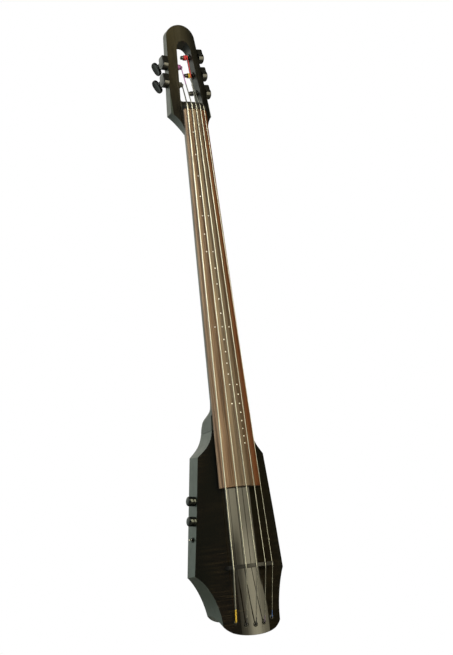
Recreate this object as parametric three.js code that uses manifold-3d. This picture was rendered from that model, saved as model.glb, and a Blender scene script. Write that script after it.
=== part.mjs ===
// Five-string electric upright bass: solid body, slotted head, geared tuners, arched bridge.
// Millimetres. While modelling, X runs to the treble side, Y towards the back and Z up the neck,
// with Z = 0 at the bridge and Y = 0 at the middle string; the last step moves the origin to the
// stand plate on the back of the body.
import * as THREE from 'three';
import { mergeVertices } from 'three/addons/utils/BufferGeometryUtils.js';
import Module from 'manifold-3d';

const wasm = await Module();
wasm.setup();

// ---------------------------------------------------------------- driving dimensions
const GAP = 0.3; // clearance between neighbouring pieces

const SCALE = 1060; // bridge to nut
const STRING_RADII = [1.7, 1.45, 1.2, 0.95, 0.75]; // low B to high G
const STRING_NAMES = ['b', 'e', 'a', 'd', 'g'];
const BRIDGE_PITCH = 24.05; // string spacing across the bridge
const BRIDGE_ARCH = 82.7; // radius the strings lie on at the bridge
const NUT_PITCH = 11.1;
const NUT_LENGTH = 10;

const BODY_ARCH = 159; // radius of the body's front
const BODY_CROWN = 32.7; // depth of the front's centre line at the bridge
const BODY_CROWN_RISE = 0.022; // how fast the centre line comes forward going up
const BODY_BACK = 117.3; // depth of the flat part of the back
const BACK_TAPER = 0.095; // slope of the upper back
const HORN = [83.1, 245]; // half width and height of the upper corners
const HIP = [110.9, -8.4]; // half width and height of the lower corners
const TAIL = [70.6, -124.5]; // half width and height of the tail corners
const TAIL_END = -141.3; // lowest point of the tail curve
// rise of the scooped tail end: pairs of depth and rise
const TAIL_RISE = [[-20, -27.5], [45, 0], [57, 7.5], [70, 15.5], [83, 21.6], [96, 25.4], [108, 26.6],
  [117.3, 27], [140, 27.5]];
const SEAM = 300; // height of the joint between the body and the neck heel

const BOARD_END = 171; // lower end of the fingerboard
const BOARD_HALF = [51, 28.9]; // half width at the lower end and at the nut
const BOARD_CROWN = [8.2, 2.2];
const BOARD_ARCH = [80, 85];
const BOARD_UNDER = [30.6, 13]; // depth of the flat underside

const HEAD_BASE = 1056; // height of the head's lower corners
const HEAD_TOP = 1291.5;
const HEAD_HALF = 53.2; // half width at the lower corners
const HEAD_SHOULDER = 1262; // where the rounded top begins
const HEAD_TAPER = 0.0751; // loss of half width per unit of height
const HEAD_ARCH = 90;
const HEAD_CROWN = 11.55;
const HEAD_TILT = 0.0716; // the front leans back by this slope
const HEAD_BACK = 51.5;
const RAIL = 21.8; // thickness of the two rails beside the slot
const SLOT_BOTTOM = 1083;
const SLOT_TOP = 1250;

const POST_DEPTH = 40; // depth of the tuner posts behind the middle string
const POST_RADIUS = 4.6;
const WORM_OFFSET = 11.5; // from post axis up to worm axis
const GEAR_PLANE = 7; // distance of the worm wheel from the side of the head
const GEAR_TEETH = 20;
const TUNERS = [
  { string: 0, side: -1, z: 1139.5, reach: 18.5, leave: -12.5, step: -1, turns: 3, key: 34 },
  { string: 1, side: -1, z: 1186, reach: 18.5, leave: -9, step: -1, turns: 3, key: 31 },
  { string: 2, side: 1, z: 1213.5, reach: 22.5, leave: 12, step: -1, turns: 4, key: -12 },
  { string: 3, side: 1, z: 1167, reach: 22.5, leave: 9, step: 1, turns: 4, key: 20 },
  { string: 4, side: 1, z: 1120.5, reach: 19.5, leave: 18, step: -1, turns: 5, key: -6 },
];

const TAIL_HOLES = [[-45.7, -113.3], [-23.1, -121], [-1.1, -123], [21, -120.6], [43, -112.9]];

const CONTROL_DEPTH = 70.5; // depth of the knob axes
const KNOB_HEIGHTS = [151.5, 108];
const TOGGLE = [84, 70.2]; // depth and height of the toggle switch
const POCKET_WALL = 8; // wood left between the side of the body and the control pocket
const POCKET = { a0: -36, a1: -POCKET_WALL, front: 63, low: -58, high: 58, step: -14, lowFront: 70 };
const POCKET_MIDDLE = 111;
const COVER = { width: 40, length: 134, thickness: 2, corner: 6 };

const PLATE = { width: 64, height: 72, thickness: 4, middle: -50 };

// ---------------------------------------------------------------- small helpers
const V = (x, y, z) => new THREE.Vector3(x, y, z);
const lerp = (a, b, t) => a + (b - a) * t;
const sag = (radius, x) => radius - Math.sqrt(radius * radius - x * x);

const boardShare = (z) => (z - BOARD_END) / (SCALE - BOARD_END);
const boardHalf = (z) => lerp(BOARD_HALF[0], BOARD_HALF[1], boardShare(z));
const boardUnder = (z) => lerp(BOARD_UNDER[0], BOARD_UNDER[1], boardShare(z));
const bodyFront = (x, z) => BODY_CROWN - BODY_CROWN_RISE * z + sag(BODY_ARCH, x);
const headHalf = (z) => HEAD_HALF - HEAD_TAPER * (z - HEAD_BASE);
const bodyHalf = (z) => lerp(HIP[0], HORN[0], (z - HIP[1]) / (HORN[1] - HIP[1]));
const BODY_TAPER = (HIP[0] - HORN[0]) / (HORN[1] - HIP[1]);

// points of a cubic Bezier curve; the first point is left out when skipFirst is set
function bezier(p0, p1, p2, p3, count, skipFirst = false) {
  const points = [];
  for (let i = skipFirst ? 1 : 0; i <= count; i += 1) {
    const t = i / count;
    const u = 1 - t;
    points.push([0, 1].map((k) => u * u * u * p0[k] + 3 * u * u * t * p1[k]
      + 3 * u * t * t * p2[k] + t * t * t * p3[k]));
  }
  return points;
}

// adds the mirror image of a half outline that runs from bottom to top on the +X side
function mirrored(half) {
  const left = half.filter((p) => p[0] > 1e-6).map((p) => [-p[0], p[1]]).reverse();
  return [...half, ...left];
}

function circle(radius, count, cx = 0, cy = 0, start = 0) {
  return Array.from({ length: count }, (_, i) => {
    const angle = start + (2 * Math.PI * i) / count;
    return [cx + radius * Math.cos(angle), cy + radius * Math.sin(angle)];
  });
}

function roundedBox(x0, x1, y0, y1, radius, steps = 3) {
  const points = [];
  const corners = [[x1 - radius, y1 - radius, 0], [x0 + radius, y1 - radius, 1],
    [x0 + radius, y0 + radius, 2], [x1 - radius, y0 + radius, 3]];
  for (const [cx, cy, quarter] of corners) {
    for (let i = 0; i <= steps; i += 1) {
      const angle = (quarter + i / steps) * Math.PI * 0.5;
      points.push([cx + radius * Math.cos(angle), cy + radius * Math.sin(angle)]);
    }
  }
  return points;
}

function meshData(positions, index) {
  const geometry = new THREE.BufferGeometry();
  geometry.setAttribute('position', new THREE.Float32BufferAttribute(positions, 3));
  geometry.setIndex(index);
  return geometry;
}

function signedVolume(geometry) {
  const p = geometry.getAttribute('position');
  const index = geometry.getIndex().array;
  const [a, b, c] = [V(), V(), V()];
  let sum = 0;
  for (let i = 0; i < index.length; i += 3) {
    a.fromBufferAttribute(p, index[i]);
    b.fromBufferAttribute(p, index[i + 1]);
    c.fromBufferAttribute(p, index[i + 2]);
    sum += a.dot(b.cross(c));
  }
  return sum / 6;
}

// turns every face outwards
function facingOut(geometry) {
  if (signedVolume(geometry) < 0) {
    const index = geometry.getIndex().array;
    for (let i = 0; i < index.length; i += 3) {
      [index[i + 1], index[i + 2]] = [index[i + 2], index[i + 1]];
    }
  }
  return geometry;
}

// skin through loops of equal length; flatten gives the 2-D view used to close the two ends
function loft(loops, flatten) {
  const count = loops[0].length;
  const positions = loops.flat().flatMap((p) => [p.x, p.y, p.z]);
  const index = [];
  for (let k = 0; k + 1 < loops.length; k += 1) {
    for (let i = 0; i < count; i += 1) {
      const j = (i + 1) % count;
      const [a, b] = [k * count + i, k * count + j];
      index.push(a, b, b + count, a, b + count, a + count);
    }
  }
  for (const end of [0, loops.length - 1]) {
    const flat = loops[end].map((p) => new THREE.Vector2(...flatten(p)));
    const loopTurn = Math.sign(THREE.ShapeUtils.area(flat));
    for (const [a, b, c] of THREE.ShapeUtils.triangulateShape(flat, [])) {
      const faceTurn = Math.sign(THREE.ShapeUtils.area([flat[a], flat[b], flat[c]]));
      const sameWay = (faceTurn === loopTurn) === (end > 0);
      index.push(...[a, sameWay ? b : c, sameWay ? c : b].map((i) => end * count + i));
    }
  }
  return facingOut(meshData(positions, index));
}

// outline in X and Z pushed through a range of depths
const slab = (outline, y0, y1) => loft(
  [y0, y1].map((y) => outline.map(([x, z]) => V(x, y, z))), (p) => [p.x, p.z]);

// outline in Y and Z pushed across a range of X
const acrossX = (outline, x0, x1) => loft(
  [x0, x1].map((x) => outline.map(([y, z]) => V(x, y, z))), (p) => [p.y, p.z]);

// outline in X and Y pushed up a range of Z
const upZ = (outline, z0, z1) => loft(
  [z0, z1].map((z) => outline.map(([x, y]) => V(x, y, z))), (p) => [p.x, p.y]);

const box = (x0, x1, y0, y1, z0, z1) => upZ([[x0, y0], [x1, y0], [x1, y1], [x0, y1]], z0, z1);

// rod of changing radius along a local axis; profile lists [distance, radius] pairs
function turned(profile, sides, axis = 'x') {
  const loops = profile.map(([t, r]) => circle(r, sides).map(([u, v]) => {
    if (axis === 'x') {
      return V(t, u, v);
    }
    return axis === 'y' ? V(u, t, v) : V(u, v, t);
  }));
  const flatten = { x: (p) => [p.y, p.z], y: (p) => [p.x, p.z], z: (p) => [p.x, p.y] }[axis];
  return loft(loops, flatten);
}

// round rod of changing radius along a path
function cord(points, radii, sides) {
  const tangents = points.map((_, i) => {
    const before = points[Math.max(i - 1, 0)];
    const after = points[Math.min(i + 1, points.length - 1)];
    return after.clone().sub(before).normalize();
  });
  let side = V(1, 0, 0);
  const loops = points.map((point, i) => {
    side = side.clone().addScaledVector(tangents[i], -side.dot(tangents[i])).normalize();
    const other = tangents[i].clone().cross(side);
    return circle(radii[i], sides).map(([u, v]) => point.clone()
      .addScaledVector(side, u).addScaledVector(other, v));
  });
  const positions = loops.flat().flatMap((p) => [p.x, p.y, p.z]);
  const index = [];
  for (let k = 0; k + 1 < loops.length; k += 1) {
    for (let i = 0; i < sides; i += 1) {
      const j = (i + 1) % sides;
      const [a, b] = [k * sides + i, k * sides + j];
      index.push(a, b, b + sides, a, b + sides, a + sides);
    }
  }
  const last = (loops.length - 1) * sides;
  for (let i = 1; i + 1 < sides; i += 1) {
    index.push(0, i + 1, i, last, last + i, last + i + 1);
  }
  return facingOut(meshData(positions, index));
}

function toManifold(geometry) {
  const plain = geometry.clone();
  plain.deleteAttribute('normal');
  plain.deleteAttribute('uv');
  const merged = mergeVertices(plain, 1e-4);
  return new wasm.Manifold(new wasm.Mesh({
    numProp: 3,
    vertProperties: new Float32Array(merged.getAttribute('position').array),
    triVerts: new Uint32Array(merged.getIndex().array),
  }));
}

function fromManifold(manifold) {
  const mesh = manifold.getMesh();
  return meshData(Array.from(mesh.vertProperties), Array.from(mesh.triVerts));
}

// a stock piece with others added, kept only inside some, and cut by the rest
function shape(stock, { add = [], keep = [], cut = [] } = {}) {
  let solid = toManifold(stock);
  add.forEach((g) => { solid = solid.add(toManifold(g)); });
  keep.forEach((g) => { solid = solid.intersect(toManifold(g)); });
  cut.forEach((g) => { solid = solid.subtract(toManifold(g)); });
  return fromManifold(solid);
}

// moves a local piece into place; mirrored placements keep their faces outwards
function placed(geometry, matrix) {
  const copy = geometry.clone();
  copy.applyMatrix4(matrix);
  return facingOut(copy);
}

// local frame on a tapering side wall: a points out of the wall, b to the back, c up the wall
function wallFrame(side, half, depth, z, taper) {
  const length = Math.hypot(1, taper);
  const a = V(side / length, 0, taper / length);
  const c = V((-side * taper) / length, 0, 1 / length);
  return new THREE.Matrix4().makeBasis(a, V(0, 1, 0), c).setPosition(side * half, depth, z);
}

const group = new THREE.Group();
const STYLE = {
  lacquer: [0x14120f, 0.0, 0.2], satin: [0x3f4843, 0.0, 0.45], rosewood: [0x7a5644, 0.0, 0.5],
  black: [0x101010, 0.1, 0.3], steel: [0xb9b9b4, 1.0, 0.35], chrome: [0xd8d8d8, 1.0, 0.1],
  blackChrome: [0x2a2c2c, 1.0, 0.12],
  brass: [0xb08d3c, 1.0, 0.3], plastic: [0x1b1b1b, 0.0, 0.5],
};

function addPiece(name, geometry, style) {
  const [color, metalness, roughness] = STYLE[style];
  const material = new THREE.MeshStandardMaterial({ color, metalness, roughness });
  const mesh = new THREE.Mesh(geometry, material);
  mesh.name = name;
  group.add(mesh);
}

// ---------------------------------------------------------------- body
// a cylinder lying along the body whose near side is the arched front
function frontArch(radius, crown, slope, z0, z1) {
  const around = 96;
  const loops = [z0, z1].map((z) => circle(radius, around, 0, 0, Math.PI / around)
    .map(([x, y]) => V(x, y + radius + crown + slope * z, z)));
  return loft(loops, (p) => [p.x, p.y]);
}

const upperCut = bezier(HORN, [66, 262], [50, 272], [47.3, 318], 14);
const lowerCut = bezier([TAIL[0], -121.5], [70.6, -80], [88, -30], HIP, 14);
const bodyOutline = mirrored([[TAIL[0], -165], ...lowerCut, ...upperCut, [46.2, 352]]);

const tailCurve = bezier([0, TAIL_END], [32, TAIL_END], [60, -138.6], TAIL, 12);
const tailOutline = mirrored([...tailCurve, [200, 60], [200, 420], [0, 420]]);
const tailBlock = loft(TAIL_RISE.map(([y, rise]) => tailOutline
  .map(([x, z]) => V(x, y, z + rise))), (p) => [p.x, p.z]);

const backProfile = [[-5, -180], [BODY_BACK, -180], [BODY_BACK, -28.4],
  [114.6 - BACK_TAPER * 360, 360], [-5, 360]];

// the flat seat that the fingerboard lies on, wider than the board by the given margin
function boardSeat(z0, z1, margin) {
  return loft([z0, z1].map((z) => {
    const [half, front] = [boardHalf(z) + margin, boardUnder(z) + GAP];
    return [V(-half, -30, z), V(half, -30, z), V(half, front, z), V(-half, front, z)];
  }), (p) => [p.x, p.y]);
}

const pocketFrame = wallFrame(-1, bodyHalf(POCKET_MIDDLE), 0, POCKET_MIDDLE, BODY_TAPER);

// frame lying in the sloping back over the pocket: a out to the side, b out of the back, c up
const coverMiddle = (() => {
  const middle = V((POCKET.a0 + POCKET.a1) / 2, 0, 0).applyMatrix4(pocketFrame);
  middle.y = 114.6 - BACK_TAPER * middle.z;
  return middle;
})();
const coverFrame = (() => {
  const out = V(0, 1, BACK_TAPER).normalize();
  const up = V(BODY_TAPER, 0, 1);
  up.addScaledVector(out, -up.dot(out)).normalize();
  const side = out.clone().cross(up);
  return new THREE.Matrix4().makeBasis(side, out, up).setPosition(coverMiddle);
})();
const COVER_SCREWS = [[-9, 61.5], [9, 61.5], [-9, -61.5], [9, -61.5]];
const JACK_SPOT = [0, -44]; // place of the output jack on the cover

function coverOutline(shrink) {
  const w = COVER.width / 2 - shrink;
  const l = COVER.length / 2 - shrink;
  return roundedBox(-w, w, -l, l, COVER.corner - shrink);
}

function tailExit(k) {
  const [x, z] = TAIL_HOLES[k];
  const curve = tailCurve.slice();
  let i = 0;
  while (curve[i + 1][0] < Math.abs(x)) {
    i += 1;
  }
  const [p, q] = [curve[i], curve[i + 1]];
  const low = lerp(p[1], q[1], (Math.abs(x) - p[0]) / (q[0] - p[0]));
  const n = TAIL_RISE.findIndex(([, rise]) => rise >= z - low);
  const [[y0, rise0], [y1, rise1]] = [TAIL_RISE[n - 1], TAIL_RISE[n]];
  return lerp(y0, y1, (z - low - rise0) / (rise1 - rise0));
}

const tailFace = (k) => bodyFront(TAIL_HOLES[k][0], TAIL_HOLES[k][1]);

function tailHole(k) {
  const [x, z] = TAIL_HOLES[k];
  const face = tailFace(k);
  const exit = tailExit(k);
  const profile = [[face - 10, 4.9], [face + 1.9, 4.9], [face + 1.9, 3.9], [face + 10, 3.9],
    [face + 10, 2.5], [exit - 14, 2.5], [exit - 14, 4.2], [exit + 8, 4.2]];
  return placed(turned(profile, 12, 'y'), new THREE.Matrix4().makeTranslation(x, 0, z));
}

// round hole through the side wall of the body for a control
function controlHole(depth, z, radius) {
  const frame = wallFrame(-1, bodyHalf(z), depth, z, BODY_TAPER);
  return placed(turned([[-POCKET_WALL - 3, radius], [3, radius]], 14), frame);
}

const TENON = { half: 22, back: 66, low: 232 };
const PLATE_SCREWS = [[-25, -29], [25, -29], [-25, 29], [25, 29]];

const bodyCuts = [
  boardSeat(BOARD_END - 0.5, SEAM + 60, 30),
  box(-TENON.half - GAP, TENON.half + GAP, 0, TENON.back + GAP, TENON.low - GAP, SEAM + 60),
  box(-200, 200, -50, 200, SEAM, 500),
  placed(box(POCKET.a0, POCKET.a1, POCKET.front, 140, POCKET.step, POCKET.high), pocketFrame),
  placed(box(POCKET.a0, POCKET.a1, POCKET.lowFront, 140, POCKET.low, POCKET.step + 1), pocketFrame),
  placed(loft([-COVER.thickness - GAP, 12].map((b) => coverOutline(0)
    .map(([a, c]) => V(a, b, c))), (p) => [p.x, p.z]), coverFrame),
  ...TAIL_HOLES.map((_, k) => tailHole(k)),
  ...KNOB_HEIGHTS.map((z) => controlHole(CONTROL_DEPTH, z, 3.8)),
  controlHole(TOGGLE[0], TOGGLE[1], 3.3),
  ...COVER_SCREWS.map(([a, c]) => placed(turned([[-12, 1.7], [1, 1.7]], 8, 'y'),
    coverFrame.clone().multiply(new THREE.Matrix4().makeTranslation(a, 0, c)))),
  ...PLATE_SCREWS.map(([x, c]) => placed(turned([[BODY_BACK - 22.5, 2.3], [BODY_BACK + 5, 2.3]], 8, 'y'),
    new THREE.Matrix4().makeTranslation(x, 0, PLATE.middle + c))),
];
// the upper corners rise a little towards the back
const HORN_LIFT = 0.1;
const bodyBlank = loft([-5, 140].map((y) => bodyOutline.map(([x, z]) => V(x, y,
  z + (z > HORN[1] - 1 ? HORN_LIFT * (y - 50) : 0)))), (p) => [p.x, p.z]);
const body = shape(bodyBlank, {
  keep: [tailBlock, frontArch(BODY_ARCH, BODY_CROWN, -BODY_CROWN_RISE, -200, 380),
    acrossX(backProfile, -150, 150)],
  cut: bodyCuts,
});
addPiece('body', body, 'lacquer');

// ---------------------------------------------------------------- neck, heel and head
// half of a rounded section: half width, front depth, back depth and squareness of the back
const NECK_SECTIONS = [
  [SEAM + GAP, 49.7, 86.1, 200], [311, 48.9, 85, 60], [319, 48.3, 84.2, 22], [325, 47.9, 83, 14],
  [330, 47.5, 80.4, 8.5], [335, 47.1, 75, 5], [339, 46.8, 69, 3.6], [343, 46.6, 63.4, 2.8],
  [347, 46.4, 60.2, 2.4], [352, 46.1, 58.7, 2.2], [365, null, 58.2, 2], [420, null, 57.5, 2],
  [560, null, 54.6, 2], [730, null, 50.3, 2], [850, null, 45, 2], [960, null, 43, 2],
  [1010, null, 43.6, 2], [1036, null, 47, 2], [1056, 28.3, 50.4, 2.2], [1072, 28.3, 51.2, 2.6],
];

function neckLoop([z, half, back, power]) {
  const width = half ?? boardHalf(z) - 0.7;
  const front = boardUnder(Math.min(z, SCALE)) + GAP;
  const points = [];
  for (let i = 0; i <= 16; i += 1) {
    const angle = (Math.PI * i) / 16;
    const [c, s] = [Math.cos(angle), i === 16 ? 0 : Math.sin(angle)];
    points.push(V(width * Math.sign(c) * Math.abs(c) ** (2 / power),
      front + (back - front) * s ** (2 / power), z));
  }
  return points;
}

const headSide = bezier([29.2, 1002], [33, 1035], [47, 1050], [HEAD_HALF, HEAD_BASE], 12);
const shoulderHalf = headHalf(HEAD_SHOULDER);
const headTop = bezier([shoulderHalf, HEAD_SHOULDER], [shoulderHalf - 1.2, 1279],
  [20, HEAD_TOP], [0, HEAD_TOP], 12);
const headOutline = mirrored([...headSide, ...headTop]);
const headBack = [[0, 1000], [24, 1000], [31, 1012], [39, 1026], [46, 1040], [HEAD_BACK, 1056],
  [HEAD_BACK, 1300], [0, 1300]];

// the slot narrows like the outside and its top end leans forward
function slotLoop(y, drop) {
  const half = (z) => headHalf(z) - RAIL - 0.3;
  const top = SLOT_TOP - drop;
  const curve = bezier([half(top - 22), top - 22], [half(top - 22) - 1.5, top - 7], [9, top], [0, top], 9);
  const low = [[half(SLOT_BOTTOM) - 5, SLOT_BOTTOM], [half(SLOT_BOTTOM) - 1.2, SLOT_BOTTOM + 1.2],
    [half(SLOT_BOTTOM), SLOT_BOTTOM + 5]];
  return mirrored([...low, ...curve]).map(([x, z]) => V(x, y, z));
}
const slot = loft([slotLoop(5, -4), slotLoop(60, 14)], (p) => [p.x, p.z]);

// the tuners stand square to the leaning front of the head
function tunerFrame(t) {
  const [a, b, c] = [V(), V(), V()];
  const frame = wallFrame(t.side, headHalf(t.z), POST_DEPTH, t.z, HEAD_TAPER);
  frame.extractBasis(a, b, c);
  b.set(0, 1, -HEAD_TILT).addScaledVector(a, HEAD_TILT * a.z).normalize();
  c.copy(a).cross(b).multiplyScalar(t.side);
  return new THREE.Matrix4().makeBasis(a, b, c).setPosition(V().setFromMatrixPosition(frame));
}

const postHoles = TUNERS.map((t) => placed(turned([[-RAIL - 5, 6.5], [5, 6.5]], 16), tunerFrame(t)));

const headFront = frontArch(HEAD_ARCH, HEAD_CROWN - HEAD_TILT * SCALE, HEAD_TILT, 990, 1310);
const head = shape(slab(headOutline, 0, 60), {
  keep: [acrossX(headBack, -80, 80), headFront],
  cut: [slot, boardSeat(990, SCALE, 0.4),
    box(-29.3, 29.3, -20, boardUnder(SCALE) + GAP, SCALE - 1, SCALE + GAP + NUT_LENGTH + GAP)],
});

const ROD = { half: 3, depth: 9, low: 392, high: 1044 };

function rodBlock(grow, z0, z1) {
  const front = (z) => boardUnder(z) + GAP + 0.4 - (grow > 0 ? 8 : 0);
  const back = (z) => boardUnder(z) + GAP + 0.4 + ROD.depth + grow;
  const outline = [[front(z0), z0], [back(z0), z0], [back(z1), z1], [front(z1), z1]];
  return acrossX(outline, -ROD.half - grow, ROD.half + grow);
}

// below the heel the front of the neck follows the arch of the body
const heelFront = shape(acrossX([[-20, 200], [60, 200], [60, 322], [-20, 352]], -70, 70), {
  cut: [frontArch(BODY_ARCH, BODY_CROWN, -BODY_CROWN_RISE, 150, 380)],
});

const neck = shape(loft(NECK_SECTIONS.map(neckLoop), (p) => [p.x, p.y]), {
  add: [head, box(-TENON.half, TENON.half, boardUnder(SEAM) + 3, TENON.back, TENON.low, SEAM + 10)],
  cut: [rodBlock(GAP, ROD.low - GAP, ROD.high + GAP), heelFront, slot, ...postHoles],
});
addPiece('neck_and_head', neck, 'satin');
addPiece('truss_rod', rodBlock(0, ROD.low, ROD.high), 'steel');

// ---------------------------------------------------------------- fingerboard and nut
function archedLoop(half, crown, radius, under, z, steps) {
  const points = [];
  for (let i = 0; i <= steps; i += 1) {
    const x = lerp(half, -half, i / steps);
    points.push(V(x, crown + sag(radius, x), z));
  }
  points.push(V(-half, under, z), V(half, under, z));
  return points;
}
addPiece('fingerboard', loft([
  archedLoop(BOARD_HALF[0], BOARD_CROWN[0], BOARD_ARCH[0], BOARD_UNDER[0], BOARD_END, 20),
  archedLoop(BOARD_HALF[1], BOARD_CROWN[1], BOARD_ARCH[1], BOARD_UNDER[1], SCALE, 20),
], (p) => [p.x, p.y]), 'rosewood');

const nutX = (k) => (k - 2) * NUT_PITCH;
const nutY = (k) => BOARD_CROWN[1] + sag(BOARD_ARCH[1], nutX(k)) - 0.9 - STRING_RADII[k];
const bridgeX = (k) => (k - 2) * BRIDGE_PITCH;
const bridgeY = (k) => sag(BRIDGE_ARCH, bridgeX(k));

const nutZ = [SCALE + GAP, SCALE + GAP + NUT_LENGTH];
addPiece('nut', shape(loft(nutZ.map((z, i) => archedLoop(28.7, -0.4 + 1.2 * i, BOARD_ARCH[1],
  BOARD_UNDER[1], z, 12)), (p) => [p.x, p.y]), {
  cut: STRING_RADII.map((r, k) => placed(turned([[nutZ[0] - 5, r + GAP], [nutZ[1] + 5, r + GAP]], 10, 'z'),
    new THREE.Matrix4().makeTranslation(nutX(k), nutY(k), 0))),
}), 'black');

// ---------------------------------------------------------------- bridge
const BRIDGE = { half: 56, thick: 8, foot: 12, window: 30 };
const bridgeTop = [];
const bridgeLow = [];
for (let i = 0; i <= 20; i += 1) {
  const x = lerp(-BRIDGE.half, BRIDGE.half, i / 20);
  bridgeTop.push([x, 0.3 + sag(BRIDGE_ARCH, x)]);
}
for (let i = 0; i <= 14; i += 1) {
  const x = lerp(BRIDGE.half - 1.5, -BRIDGE.half + 1.5, i / 14);
  bridgeLow.push([x, bodyFront(x, 0) - GAP - 0.25]);
}
// sensing wafer in each foot of the bridge; the pocket for it is open below
const pickupBlock = (side, grow, back) => box(side * 43 - 8.5 - grow, side * 43 + 8.5 + grow,
  32.4 - grow, back, -2.4 - grow, 2.4 + grow);
const archWindow = mirrored([...bezier([BRIDGE.window, 60], [BRIDGE.window, 34], [22, 16], [0, 16], 6)]);
addPiece('bridge', shape(upZ([...bridgeTop, ...bridgeLow], -BRIDGE.thick / 2, BRIDGE.thick / 2), {
  cut: [upZ(archWindow, -20, 20), ...[-1, 1].map((side) => pickupBlock(side, GAP, 50)),
    ...STRING_RADII.map((r, k) => placed(turned([[-9, r + GAP], [9, r + GAP]], 10, 'z'),
      new THREE.Matrix4().makeTranslation(bridgeX(k), bridgeY(k), 0)))],
}), 'black');

for (const side of [-1, 1]) {
  addPiece(`bridge_pickup_${side < 0 ? 'bass' : 'treble'}`, pickupBlock(side, 0, 34.6), 'brass');
}

// ---------------------------------------------------------------- strings
// point path with each corner rounded off over the given length
function rounded(corners) {
  const points = [];
  corners.forEach(({ at, soft }, i) => {
    if (!soft) {
      points.push(at);
      return;
    }
    const before = at.clone().lerp(corners[i - 1].at, soft / at.distanceTo(corners[i - 1].at));
    const after = at.clone().lerp(corners[i + 1].at, soft / at.distanceTo(corners[i + 1].at));
    for (const t of [0, 0.3, 0.7, 1]) {
      points.push(before.clone().multiplyScalar((1 - t) * (1 - t))
        .addScaledVector(at, 2 * t * (1 - t)).addScaledVector(after, t * t));
    }
  });
  return points;
}

const COIL_STEPS = 8; // points in one turn round a post
const THINNING = 0.75; // the silk-wrapped end is thinner than the playing length

function stringPath(tuner) {
  const k = tuner.string;
  const r = STRING_RADII[k];
  const thin = r * THINNING;
  const exit = tailExit(k);
  const [hx, hz] = TAIL_HOLES[k];
  const face = tailFace(k);
  const rest = BRIDGE.thick / 2 + 0.5;
  const corners = [
    { at: V(hx, face - 3.2, hz), soft: 2.6 },
    { at: V(bridgeX(k), bridgeY(k), -rest), soft: 1.5 },
    { at: V(bridgeX(k), bridgeY(k), rest), soft: 1.5 },
    { at: V(nutX(k), nutY(k), nutZ[0] - 1.5), soft: 1.2 },
    { at: V(nutX(k), nutY(k), nutZ[1] + 1), soft: 1.2 },
  ];
  const frame = tunerFrame(tuner);
  const axis = V().setFromMatrixColumn(frame, 0);
  const up = V().setFromMatrixColumn(frame, 2);
  const out = (tuner.leave - V().setFromMatrixPosition(frame).x) / axis.x;
  const centre = V().setFromMatrixPosition(frame).addScaledVector(axis, out);
  const reach = (POST_RADIUS + 0.2 + thin) / Math.cos(Math.PI / COIL_STEPS);
  const last = corners[corners.length - 1].at;
  const [dy, dz] = [centre.y - last.y, centre.z - last.z];
  const heading = Math.atan2(dz, dy) + Math.asin(reach / Math.hypot(dy, dz));
  const start = Math.atan2(Math.cos(heading), Math.sin(heading)) - HEAD_TILT;
  const coil = [];
  const pitch = 2 * thin + 0.3;
  const count = tuner.turns * COIL_STEPS;
  const front = V().setFromMatrixColumn(frame, 1).negate();
  for (let i = 0; i <= count; i += 1) {
    const angle = start + (2 * Math.PI * i) / COIL_STEPS;
    const shift = (Math.max(i - 1, 0) * pitch * tuner.step * tuner.side) / COIL_STEPS;
    coil.push(centre.clone().addScaledVector(axis, shift)
      .addScaledVector(front, reach * Math.cos(angle)).addScaledVector(up, reach * Math.sin(angle)));
  }
  const ends = [{ at: V(hx, exit - 5, hz) }, ...corners, { at: coil[0] }];
  const middle = rounded(ends).slice(1, -1);
  const ball = [[exit - 12.3, r], [exit - 11.8, 3.2], [exit - 6, 3.2]];
  const points = [...ball.slice().reverse().map(([y]) => V(hx, y, hz)), ...middle, ...coil];
  const radii = [...ball.slice().reverse().map((b) => b[1]), ...middle.map(() => r), ...coil.map(() => thin)];
  return { points, radii };
}

for (const tuner of TUNERS) {
  const { points, radii } = stringPath(tuner);
  addPiece(`string_${STRING_NAMES[tuner.string]}`, cord(points, radii, 6), 'steel');
}

TAIL_HOLES.forEach(([x, z], k) => {
  const face = tailFace(k);
  const ferrule = shape(turned([[face - 1, 4.1], [face - 0.4, 4.5], [face + 1.5, 4.5],
    [face + 1.5, 3.6], [face + 9.5, 3.6]], 12, 'y'), {
    cut: [turned([[face - 5, 3], [face - 0.6, 2.6], [face + 2, 2.3], [face + 12, 2.3]], 10, 'y')],
  });
  addPiece(`tail_ferrule_${STRING_NAMES[k]}`, placed(ferrule,
    new THREE.Matrix4().makeTranslation(x, 0, z)), 'black');
});

// ---------------------------------------------------------------- tuners
function gearOutline(teeth, tip, root) {
  const points = [];
  for (let i = 0; i < teeth; i += 1) {
    for (const [share, r] of [[0, root], [0.5, tip]]) {
      const angle = (2 * Math.PI * (i + share)) / teeth;
      points.push([r * Math.cos(angle), r * Math.sin(angle)]);
    }
  }
  return points;
}

const alongA = (outline, a0, a1) => loft([a0, a1].map((a) => outline.map(([b, c]) => V(a, b, c))),
  (p) => [p.y, p.z]);
const moved = (geometry, a, b, c) => placed(geometry, new THREE.Matrix4().makeTranslation(a, b, c));

const HOUSING = { out: 14, front: -9.5, back: 13, low: -4, high: 22, corner: 5, chamfer: 1.8 };
const BARREL = 12.8; // outside radius of the round cover over the worm wheel

function housingLoop(shrink, a) {
  return roundedBox(HOUSING.front + shrink, HOUSING.back - shrink, HOUSING.low + shrink,
    HOUSING.high - shrink, HOUSING.corner - shrink * 0.6, 4).map(([b, c]) => V(a, b, c));
}

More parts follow.
